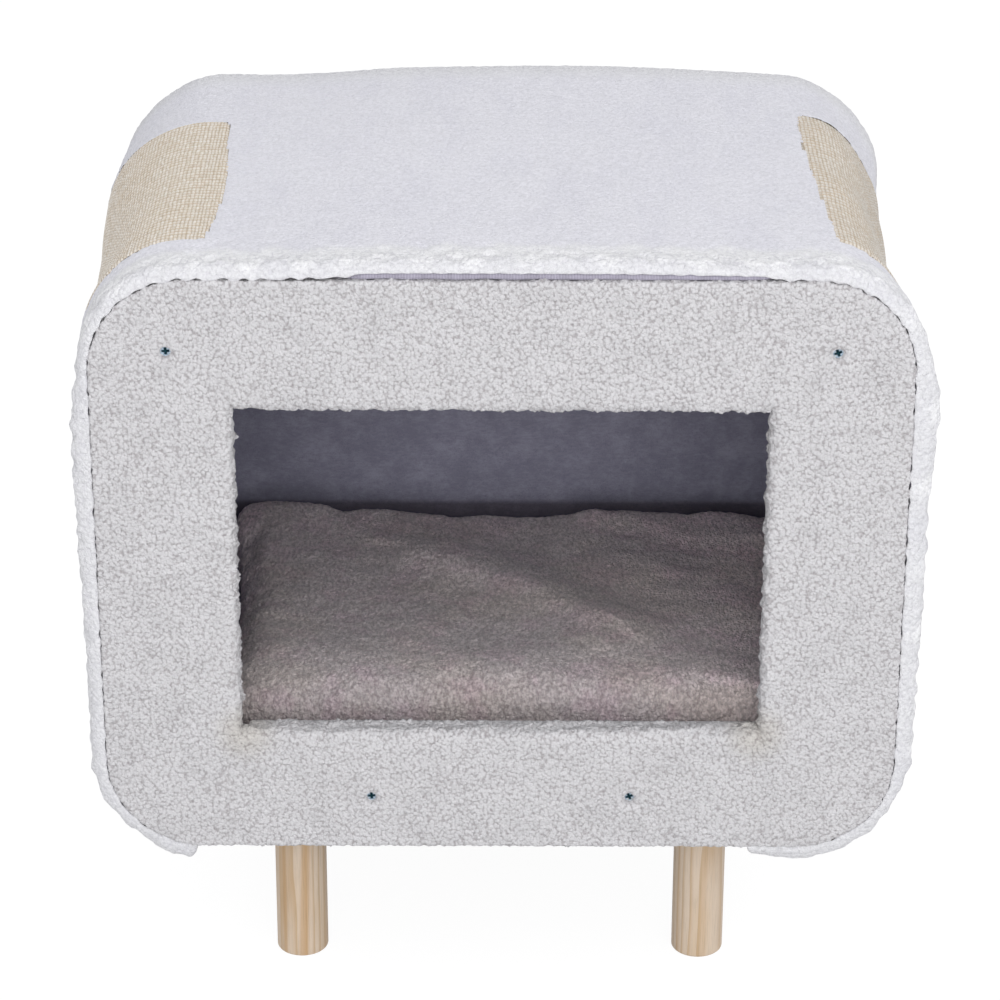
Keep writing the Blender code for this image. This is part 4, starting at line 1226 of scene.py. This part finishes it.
def make_under_cloth(finish):
    """The thin cloth stapled under the floor board. Its ragged ends hang down just past the boards."""
    low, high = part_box("under_cloth")
    flap = 0.120
    drop = high.z - low.z
    inner_y = high.y - 0.0006
    ys = spaced(-inner_y, inner_y, 0.0035)
    falls = spaced(0, drop, 0.0016)[1:]
    section = [(y, 0.0) for y in ys]
    section = [(-inner_y, fall) for fall in falls[::-1]] + section + [(inner_y, fall) for fall in falls]
    section = np.array(section)
    xs = spaced(low.x, high.x, 0.0035)
    x = np.repeat(xs, len(section))
    y = np.tile(section[:, 0], len(xs))
    fall = np.tile(section[:, 1], len(xs))
    flat = np.stack([x, y], -1)
    sag = 0.0006 + 0.0005 * uneven(flat, 0.07, 71) + 0.0002 * uneven(flat, 0.018, 72)
    sag *= between(np.minimum(high.x - np.abs(x), inner_y - np.abs(y)), 0.0, 0.02)
    ragged = 0.0022 * uneven(x[:, None], 0.006, 73) + 0.0016 * uneven(x[:, None], 0.0022, 74)
    tail = fall / drop
    z = high.z - 0.0004 - sag - fall - tail**3 * ragged
    y = y - np.sign(y) * tail * 0.0008 * uneven(flat, 0.02, 75)
    middle_fall = np.maximum(section[1:, 1], section[:-1, 1])
    kept = (np.abs(cell_middles(xs))[:, None] < flap) | (middle_fall[None, :] == 0)
    piece = mesh_piece(
        "stapled_under_cloth", np.stack([x, y, z], -1), facing_out(len(xs), len(section), kept)
    )
    drop_loose(piece)
    thicken(piece, 0.0004)
    settle(piece, HOUSE, "dark_cloth", finish, "under_cloth")
    make_staples(low, high)


def make_staples(low, high):
    """The staples that hold the cloth under the floor board."""
    bm = bmesh.new()
    inset, crown, wire = 0.006, 0.010, 0.0006
    along_ends, along_sides = np.linspace(-0.19, 0.19, 6), np.linspace(-0.09, 0.09, 3)
    spots = [(x, side * (high.y - inset), 0.0) for side in (-1, 1) for x in along_ends]
    spots += [(side * (high.x - inset), y, math.pi / 2) for side in (-1, 1) for y in along_sides]
    rail = [(-crown / 2, 0, 0.0012), (-crown / 2, 0, 0.0002), (-crown / 2 + 0.0004, 0, 0)]
    rail += [(-part[0], part[1], part[2]) for part in rail[::-1]]
    ring_angles = [math.radians(60 * k) for k in range(6)]
    ring = [(math.cos(angle) * wire / 2, math.sin(angle) * wire / 2) for angle in ring_angles]
    dice = np.random.default_rng(81)
    for x, y, turn in spots:
        askew = Matrix.Rotation(turn + dice.uniform(-0.15, 0.15), 4, "Z")
        spot = Matrix.Translation((x + dice.uniform(-0.003, 0.003), y, high.z - 0.0014)) @ askew
        rings = []
        for index, point in enumerate(rail):
            before, after = Vector(rail[max(index - 1, 0)]), Vector(rail[min(index + 1, len(rail) - 1)])
            way = (after - before).normalized()
            across = Vector((0, 1, 0))
            up = way.cross(across)
            rings.append([bm.verts.new(spot @ (Vector(point) + across * a + up * b)) for a, b in ring])
        for first, second in zip(rings, rings[1:]):
            for k in range(6):
                bm.faces.new((first[k], first[(k + 1) % 6], second[(k + 1) % 6], second[k]))
        bm.faces.new(rings[0])
        bm.faces.new(rings[-1])
    piece = bmesh_piece("cloth_staples", bm)
    piece.data.shade_smooth()
    return settle(piece, HOUSE, "zinc", zinc_finish())


def make_leg(name, finish, pith, shift, streaks):
    """A turned dowel with a softly rounded foot, cut from its own part of the pine.

    Each resin streak has its angles in degrees from the front at the foot and at the top, its half width in
    degrees, and its strength.
    """
    low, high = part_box(f"leg_{name}")
    radius = (high.x - low.x) / 2
    middle = Vector(((low.x + high.x) / 2, (low.y + high.y) / 2, 0))
    steps = 144
    profile = [(radius * part, low.z) for part in (0.0, 0.3, 0.6, 0.85)]
    foot = 0.0016
    for angle in np.linspace(-math.pi / 2, 0, 6):
        profile.append((radius - foot + foot * math.cos(angle), low.z + foot + foot * math.sin(angle)))
    profile += [(radius, z) for z in np.linspace(low.z + 0.004, high.z - 0.003, 30)]
    profile += [(radius, high.z - 0.0008), (radius - 0.0008, high.z), (radius * 0.6, high.z), (0.0, high.z)]
    angles = np.linspace(0, 2 * math.pi, steps, endpoint=False)
    points = []
    for reach, z in profile:
        reaches = reach * (1 + 0.0016 * np.sin(2 * angles + 5 * z / 0.1))
        points += [(middle.x + r * math.cos(a), middle.y + r * math.sin(a), z) for r, a in zip(reaches, angles)]
    piece = turned(f"leg_{name}_dowel", points, steps)
    at = places(piece) - np.array(middle)
    keep(piece, "grain_at", at + np.array([pith[0], pith[1], shift]))
    facing = np.degrees(np.arctan2(at[:, 0], -at[:, 1]))
    up = (at[:, 2] - low.z) / (high.z - low.z)
    stain = np.zeros(len(at))
    for foot_angle, top_angle, half_width, strength in streaks:
        off = np.abs((facing - foot_angle - (top_angle - foot_angle) * up + 180) % 360 - 180)
        stain = np.maximum(stain, strength * (1 - between(off, 0.35 * half_width, half_width)))
    keep(piece, "streak", stain * np.minimum(1, np.hypot(at[:, 0], at[:, 1]) / radius))
    return settle(piece, HOUSE, "pine", finish, f"leg_{name}")


def make_screws(end_name, finish):
    """The four screws of one board: a countersunk head with a cross recess, and a threaded shank."""
    end = ENDS[end_name]
    steps, turns_per_metre = 48, 620
    for place in ("upper_left", "upper_right", "lower_left", "lower_right"):
        node = f"{end_name}_screw_{place}"
        low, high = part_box(node)
        middle_x, middle_z = (low.x + high.x) / 2, (low.z + high.z) / 2
        radius, long = (high.x - low.x) / 2, high.y - low.y
        shank = 0.0019
        angles = np.linspace(0, 2 * math.pi, steps, endpoint=False)
        dice = np.random.default_rng(len(node) + 7)
        slant = dice.uniform(0, math.pi / 2)
        rows = []
        for part in np.linspace(0, 1, 20):
            reach = radius * 0.94 * part
            across, up = reach * np.cos(angles - slant), reach * np.sin(angles - slant)
            arm = np.minimum(np.abs(across), np.abs(up))
            far = min(reach / (0.66 * radius), 1)
            recess = (1 - between(arm, 0.00055, 0.00090)) * (1 - between(far, 0.88, 1.0)) if part else 1.0
            rows.append((np.full(steps, reach), 0.0002 + 0.0013 * recess * (1 - 0.3 * far) + np.zeros(steps)))
        rows.append((np.full(steps, radius - 0.00004), np.full(steps, 0.00045)))
        neck = radius - shank
        rows.append((np.full(steps, shank + 0.3 * neck), np.full(steps, 0.0009 + 0.75 * neck)))
        for down in np.linspace(0.0012 + neck, long - 0.004, 56):
            thread = (angles / (2 * math.pi) + down * turns_per_metre) % 1
            ridge = np.maximum(0, 1 - np.abs(thread - 0.5) * 5)
            rows.append((shank * 0.8 + 0.0006 * ridge * between(down, 0.006, 0.009), np.full(steps, down)))
        rows.append((np.full(steps, 0.0001), np.full(steps, long)))
        face_y = abs(low.y if end < 0 else high.y)
        points = [
            (middle_x + r * math.cos(a), end * (face_y - d), middle_z + r * math.sin(a))
            for reach, down in rows
            for r, a, d in zip(reach, angles, down)
        ]
        piece = turned(f"{node}_fine", points, steps, capped=True)
        depths = face_y - end * places(piece)[:, 1]
        # The cross recess is marked for its painted shade.
        keep(piece, "recess", within(depths, 0.0004, 0.0010, 0.0018, 0.0022))
        settle(piece, HOUSE, "zinc", finish, node)


def dress(finish, *nodes):
    """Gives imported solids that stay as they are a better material."""
    for name in nodes:
        mesh = frame["nodes"][name].data
        mesh.materials.clear()
        mesh.materials.append(finish.material)


def mat_heights(across, along, half_x, half_y, tall, edge):
    """The height of the filled mat and its place for across and along from -1 to 1."""
    power = 12.0
    reach = np.maximum(np.abs(across), np.abs(along))
    safe = np.maximum(reach, 1e-9)
    shrink = ((np.abs(across) / safe) ** power + (np.abs(along) / safe) ** power) ** (-1 / power)
    x, y = half_x * across * shrink, half_y * along * shrink
    x -= np.sign(across) * 0.006 * (1 - along**2) * np.abs(across) ** 3
    y -= np.sign(along) * 0.006 * (1 - across**2) * np.abs(along) ** 3
    crown = np.sqrt(np.maximum(1 - reach**22, 0))
    height = edge + (tall - edge) * crown
    return x, y, height


MAT_TALL, MAT_EDGE = 0.040, 0.020  # the filled mat's height in its middle and at its edge
# The mat's left rear corner: how far it stands up, how much less at its top, and how far it leans to the left.
CORNER_LIFT, CORNER_LESS, CORNER_LEAN = 0.035, 0.011, 0.010
# Each fold: points (x, y) along its crest from the mat's middle, height, half width in front and behind.
FOLDS = (
    (((-0.075, 0.056), (-0.018, 0.018), (0.012, -0.004), (0.046, -0.040)), 0.0064, 0.014, 0.032),
    (
        ((-0.17, -0.086), (-0.11, -0.09), (-0.014, -0.103), (0.025, -0.089), (0.051, -0.07), (0.08, -0.058)),
        0.0024,
        0.016,
        0.030,
    ),
    (((0.060, 0.120), (0.110, 0.088), (0.165, 0.080)), 0.0030, 0.014, 0.028),
)


def fold_heights(x, y):
    """The soft folds: each rises along a bent crest, and falls more steeply in front of it than behind."""
    total = np.zeros(len(x))
    for crest, tall, front, behind in FOLDS:
        crest = np.array(crest)
        best = np.full(len(x), np.inf)
        ahead = np.zeros(len(x), bool)
        for start, end in zip(crest, crest[1:]):
            run = end - start
            part = np.clip(((x - start[0]) * run[0] + (y - start[1]) * run[1]) / (run @ run), 0, 1)
            off_x, off_y = x - start[0] - part * run[0], y - start[1] - part * run[1]
            distance = np.hypot(off_x, off_y)
            nearer = distance < best
            best = np.where(nearer, distance, best)
            ahead = np.where(nearer, run[0] * off_y - run[1] * off_x < 0, ahead)
        width = np.where(ahead, front, behind)
        total = total + tall * hill(best, 0, width)
    return total


def mat_shell(middle_x, base, half_x, half_y):
    """The closed form that is swollen to make the mat: a domed top over an almost flat underside."""
    count_x, count_y, spread = 84, 60, math.radians(80)
    steps_x = np.sin(spread * np.linspace(-1, 1, count_x)) / math.sin(spread)
    steps_y = np.sin(spread * np.linspace(-1, 1, count_y)) / math.sin(spread)
    across, along = grid(steps_x, steps_y)
    x, y, height = mat_heights(across, along, half_x, half_y, MAT_TALL, MAT_EDGE)
    under = 0.0006 + 0.0035 * np.maximum(np.abs(across), np.abs(along)) ** 10
    top = np.stack([middle_x + x, y, base + height], -1)
    bottom = np.stack([middle_x + x, y, base + under], -1)
    faces = grid_faces(count_x, count_y)
    total = count_x * count_y
    index = np.arange(total).reshape(count_x, count_y)
    ring = np.concatenate([index[:-1, 0], index[-1, :-1], index[:0:-1, -1], index[0, :0:-1]]).tolist()
    sides = [(a, b, b + total, a + total) for a, b in zip(ring, ring[1:] + ring[:1])]
    shell = [face[::-1] for face in faces] + [tuple(i + total for i in face) for face in faces]
    piece = mesh_piece("plush_mat", np.concatenate([top, bottom]), shell + sides)
    with edited(piece) as bm:
        bmesh.ops.recalc_face_normals(bm, faces=bm.faces)
    return piece


def fold_mat(at, middle_x, base, half_x, half_y):
    """Folds the swollen mat, stands its left rear corner up against the wall, and ruffles its rear edge."""
    local_x, local_y = at[:, 0] - middle_x, at[:, 1]
    up = between(at[:, 2] - base, 0.004, MAT_TALL * 0.8)
    at[:, 2] += up * fold_heights(local_x, local_y)
    towards = np.clip((local_y / half_y - local_x / half_x) / 2, 0, 1) ** 4
    above = between(at[:, 2] - base, 0.002, 0.02)
    level = np.clip((at[:, 2] - base) / MAT_TALL, 0, 1)
    at[:, 2] += above * (CORNER_LIFT - CORNER_LESS * level) * towards
    at[:, 0] -= above * CORNER_LEAN * towards
    rear = up * between(local_y, half_y - 0.055, half_y - 0.012)
    at[:, 2] += rear * 0.0026 * between(local_x, -0.03, 0.05)
    at[:, 2] += rear * 0.0045 * hill(local_x, 0.047, 0.010)
    at[:, 2] += rear * 0.0022 * np.tanh((-0.131 - local_x) / 0.004) * hill(local_x, -0.131, 0.02)
    at[:, 2] += rear * 0.0008 * uneven(local_x[:, None], 0.04, 91)
    at[:, 2] += up * (0.0010 * uneven(at[:, :2], 0.05, 92) + 0.0004 * uneven(at[:, :2], 0.017, 93))
    at[:, 2] = np.maximum(at[:, 2], base + 0.0004)


def make_mat(finish):
    """The filled plush mat: swollen as a cloth, laid flat below, then folded, with its tufts raised."""
    now = look("mat")
    low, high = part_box("mat_cover")
    middle_x, base = (low.x + high.x) / 2, low.z
    half_x, half_y = (high.x - low.x) / 2, (high.y - low.y) / 2
    piece = mat_shell(middle_x, base, half_x - 0.004, half_y - 0.004)
    remesh(piece, 0.0042)
    puff(piece, now.cap)
    modify(piece, "SUBSURF", levels=1)
    apply_modifiers(piece)
    at = places(piece)
    fold_mat(at, middle_x, base, half_x, half_y)
    move_to(piece, at)
    keep(piece, "pile_depth", now.relief * between(at[:, 2] - base, 0.001, 0.006))
    raise_pile(piece, lambda place, amount: plush_height(place))
    settle(piece, MAT, "taupe_plush", finish, "mat_cover", "mat_wadding")


def puff(piece, cap):
    """Swells the mesh as a cloth under pressure, lets no point move further than cap, and applies that."""
    before = places(piece)
    cloth = modify(piece, "CLOTH")
    settings = cloth.settings
    settings.use_pressure = True
    settings.uniform_pressure_force = 4.0
    settings.effector_weights.gravity = 0.0
    settings.quality = 5
    scene = bpy.context.scene
    scene.frame_start, scene.frame_end = 1, 20
    for number in range(1, 21):
        scene.frame_set(number)
    apply_modifiers(piece)
    scene.frame_set(1)
    moved = places(piece) - before
    far = np.linalg.norm(moved, axis=1, keepdims=True)
    move_to(piece, before + moved * np.minimum(1, cap / np.maximum(far, 1e-9)))


def make_mat_backing(finish):
    """The flat dark cloth under the mat."""
    low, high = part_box("mat_backing")
    middle_x, half_x, half_y = (low.x + high.x) / 2, (high.x - low.x) / 2, (high.y - low.y) / 2
    rows, columns = 70, 50
    across, along = grid(np.linspace(-1, 1, rows), np.linspace(-1, 1, columns))
    x, y, _ = mat_heights(across, along, half_x - 0.003, half_y - 0.003, 0, 0)
    points = np.stack([middle_x + x, y, np.full(len(x), high.z)], -1)
    piece = mesh_piece("mat_back_cloth", points, facing_out(rows, columns))
    thicken(piece, high.z - low.z)
    settle(piece, MAT, "dark_cloth", finish, "mat_backing")


def watched(graph):
    """1 for the rays that show a surface to the camera: straight, in a shine or through a clear part."""
    seen = graph.node("ShaderNodeLightPath", {}, {})
    return seen.twin("Is Camera Ray").max(seen.twin("Is Glossy Ray")).max(seen.twin("Is Transmission Ray"))


def make_floor():
    """The floor, which looks white to the camera and throws a softer light on the house."""
    now = look("stage")
    size = 4.0
    corners = [(-size, -size, 0), (size, -size, 0), (size, size, 0), (-size, size, 0)]
    floor = mesh_piece("studio_floor", corners, [(0, 1, 2, 3)])
    finish = Finish("pale_floor", Roughness=0.9)
    darker = tuple(0.985 * part for part in now.floor)
    tone = finish.mix(tuple(now.floor), darker, finish.noise(finish.place(), 3).smooth(0.3, 0.7))
    finish.feed("Base Color", tone)
    matt = finish.node("ShaderNodeBsdfDiffuse", {}, {"Color": (0.12, 0.12, 0.12)})
    glow = finish.node("ShaderNodeEmission", {}, {"Color": (1, 1, 1), "Strength": 0.94})
    bright = finish.node("ShaderNodeAddShader", {}, {0: matt, 1: glow})
    lit = Wire(finish, finish.shader.outputs[0])
    shaded = finish.node("ShaderNodeMixShader", {}, {0: watched(finish), 1: lit, 2: bright})
    output = next(node for node in finish.tree.nodes if node.type == "OUTPUT_MATERIAL")
    finish.tree.links.new(shaded.socket, output.inputs["Surface"])
    floor.data.materials.append(finish.material)


def make_world():
    """White where the camera sees it, and dimmer and slightly blue where it lights the house."""
    world = bpy.data.worlds.new("studio")
    bpy.context.scene.world = world
    world.use_nodes = True
    graph = Graph(world.node_tree)
    background = next(node for node in world.node_tree.nodes if node.type == "BACKGROUND")
    seen = watched(graph)
    plain = graph.mix((0.965, 0.975, 1.0), (1, 1, 1), seen)
    world.node_tree.links.new(plain.socket, background.inputs["Color"])
    strength = seen + (1 - seen) * look("stage").ambient
    world.node_tree.links.new(strength.socket, background.inputs["Strength"])


def make_camera():
    """The camera at the photograph's place and angle."""
    scene = bpy.context.scene
    data = bpy.data.cameras.new("photo_camera")
    data.lens, data.sensor_width = 130.42, 36.0
    camera = bpy.data.objects.new("photo_camera", data)
    scene.collection.objects.link(camera)
    pitch, roll = math.radians(90 - 25.63), math.radians(0.18)
    camera.matrix_world = (
        Matrix.Translation((-0.0008, -2.1725, 1.3257))
        @ Matrix.Rotation(pitch, 4, "X")
        @ Matrix.Rotation(roll, 4, "Z")
    )
    scene.camera = camera
    scene.view_settings.view_transform = "Standard"


def make_stage():
    """The floor, the world, the lamps and the camera."""
    now = look("stage")
    make_floor()
    make_world()
    lamp("key_lamp", (1.05, -2.2, 2.6), 2.6, now.key)
    lamp("fill_lamp", (0.0, -2.9, 0.95), 2.2, now.fill)
    make_camera()


def lamp(name, place, size, share_of_light):
    """A square soft lamp that faces the house and gives this share of the plain level of light there."""
    aim = Vector((0, 0, 0.3))
    way = Vector(place) - aim
    data = bpy.data.lights.new(name, "AREA")
    data.size = size
    data.energy = share_of_light * math.pi**2 * way.length_squared
    light = bpy.data.objects.new(name, data)
    light.location = place
    light.rotation_euler = way.to_track_quat("Z", "Y").to_euler()
    bpy.context.scene.collection.objects.link(light)


# Operators and panel


class Maker(bpy.types.Operator):
    """One step of the dressing. An error stops it."""

    bl_options = {"REGISTER", "UNDO"}

    def execute(self, context):
        self.make()
        return {"FINISHED"}


class MakeStage(Maker):
    """Adds the floor, the lamps, the world and the camera"""

    bl_idname = "pet_house.stage"
    bl_label = "Stage"

    def make(self):
        make_stage()


class MakePileCovers(Maker):
    """Covers the two end boards with curly pile"""

    bl_idname = "pet_house.pile_covers"
    bl_label = "Pile covers"

    def make(self):
        finish = curly_pile_finish()
        for end_name in ENDS:
            make_pile_cover(end_name, finish)


class MakeFleece(Maker):
    """Covers the bent sheet with fleece"""

    bl_idname = "pet_house.fleece"
    bl_label = "Fleece"

    def make(self):
        make_fleece(fleece_finish())


class MakeSisal(Maker):
    """Weaves the two sisal patches"""

    bl_idname = "pet_house.sisal"
    bl_label = "Sisal patches"

    def make(self):
        finish = sisal_finish()
        for side_name in SIDES:
            make_sisal(side_name, finish)


class MakeHems(Maker):
    """Adds the knit hems in the gaps beside the end boards"""

    bl_idname = "pet_house.hems"
    bl_label = "Knit hems"

    def make(self):
        finish = knit_finish()
        for end_name in ENDS:
            make_hem(end_name, finish)


class MakeFelts(Maker):
    """Lines the inside with felt"""

    bl_idname = "pet_house.felts"
    bl_label = "Felt lining"

    def make(self):
        finish = felt_finish()
        make_sleeve_felt(finish)
        for end_name in ENDS:
            make_wall_felt(end_name, finish)
        make_floor_felt(finish)


class MakeUnderCloth(Maker):
    """Staples the thin dark cloth under the floor board"""

    bl_idname = "pet_house.under_cloth"
    bl_label = "Under cloth"

    def make(self):
        make_under_cloth(dark_cloth_finish())


class MakeLegs(Maker):
    """Turns the four pine legs"""

    bl_idname = "pet_house.legs"
    bl_label = "Legs"

    def make(self):
        finish = pine_finish("turned_pine", "grain_at")
        left_streaks = ((-39, -38, 7, 0.55), (5, 21, 15, 0.6), (70, 66, 9, 0.3))
        make_leg("front_left", finish, (0.021, 0.034), 0.0, left_streaks)
        make_leg("front_right", finish, (-0.030, 0.052), 0.37, ((14, 10, 6, 0.2), (-52, -58, 9, 0.25)))
        make_leg("rear_left", finish, (0.044, -0.018), 0.71, ((160, 150, 12, 0.4), (-80, -84, 6, 0.4)))
        make_leg("rear_right", finish, (-0.012, -0.040), 1.13, ((-150, -140, 8, 0.5), (100, 96, 10, 0.3)))


class MakeHardware(Maker):
    """Gives the boards, battens, screws, bolts and nuts their finishes"""

    bl_idname = "pet_house.hardware"
    bl_label = "Boards and hardware"

    def make(self):
        now = look("wood")
        nodes = frame["nodes"]
        dress(board_finish("raw_fibreboard", tuple(now.board), 0.78), "front_board", "back_board", "floor_board")
        make_sheet(board_finish("bent_hardboard", tuple(now.sheet), 0.7))
        dress(pine_finish("sawn_pine"), "batten_left", "batten_right")
        metal = zinc_finish()
        for end_name in ENDS:
            make_screws(end_name, metal)
        dress(metal, *[name for name in nodes if "bolt" in name or "nut" in name])


class MakeMat(Maker):
    """Fills and lays the plush mat"""

    bl_idname = "pet_house.mat"
    bl_label = "Mat"

    def make(self):
        make_mat(plush_finish())
        make_mat_backing(dark_cloth_finish())


STEPS = (
    MakeStage,
    MakePileCovers,
    MakeFleece,
    MakeSisal,
    MakeHems,
    MakeFelts,
    MakeUnderCloth,
    MakeLegs,
    MakeHardware,
    MakeMat,
)


class PetHousePanel(bpy.types.Panel):
    """The sizes, colours and steps of the pet house"""

    bl_idname = "VIEW3D_PT_pet_house"
    bl_label = "Pet House"
    bl_space_type = "VIEW_3D"
    bl_region_type = "UI"
    bl_category = "Pet House"

    def draw(self, context):
        layout = self.layout
        for name, group in GROUPS.items():
            box = layout.box()
            box.label(text=name.title())
            for field in group.__annotations__:
                box.prop(getattr(context.scene, f"pet_house_{name}"), field)
        for step in STEPS:
            layout.operator(step.bl_idname)


def register():
    for cls in (*GROUPS.values(), *STEPS, PetHousePanel):
        bpy.utils.register_class(cls)
    for name, group in GROUPS.items():
        setattr(bpy.types.Scene, f"pet_house_{name}", PointerProperty(type=group))


def unregister():
    for name in GROUPS:
        delattr(bpy.types.Scene, f"pet_house_{name}")
    for cls in (PetHousePanel, *STEPS[::-1], *list(GROUPS.values())[::-1]):
        bpy.utils.unregister_class(cls)


def main():
    register()
    for step in STEPS:
        area, action = step.bl_idname.split(".")
        getattr(getattr(bpy.ops, area), action)()


if __name__ == "__main__":
    main()
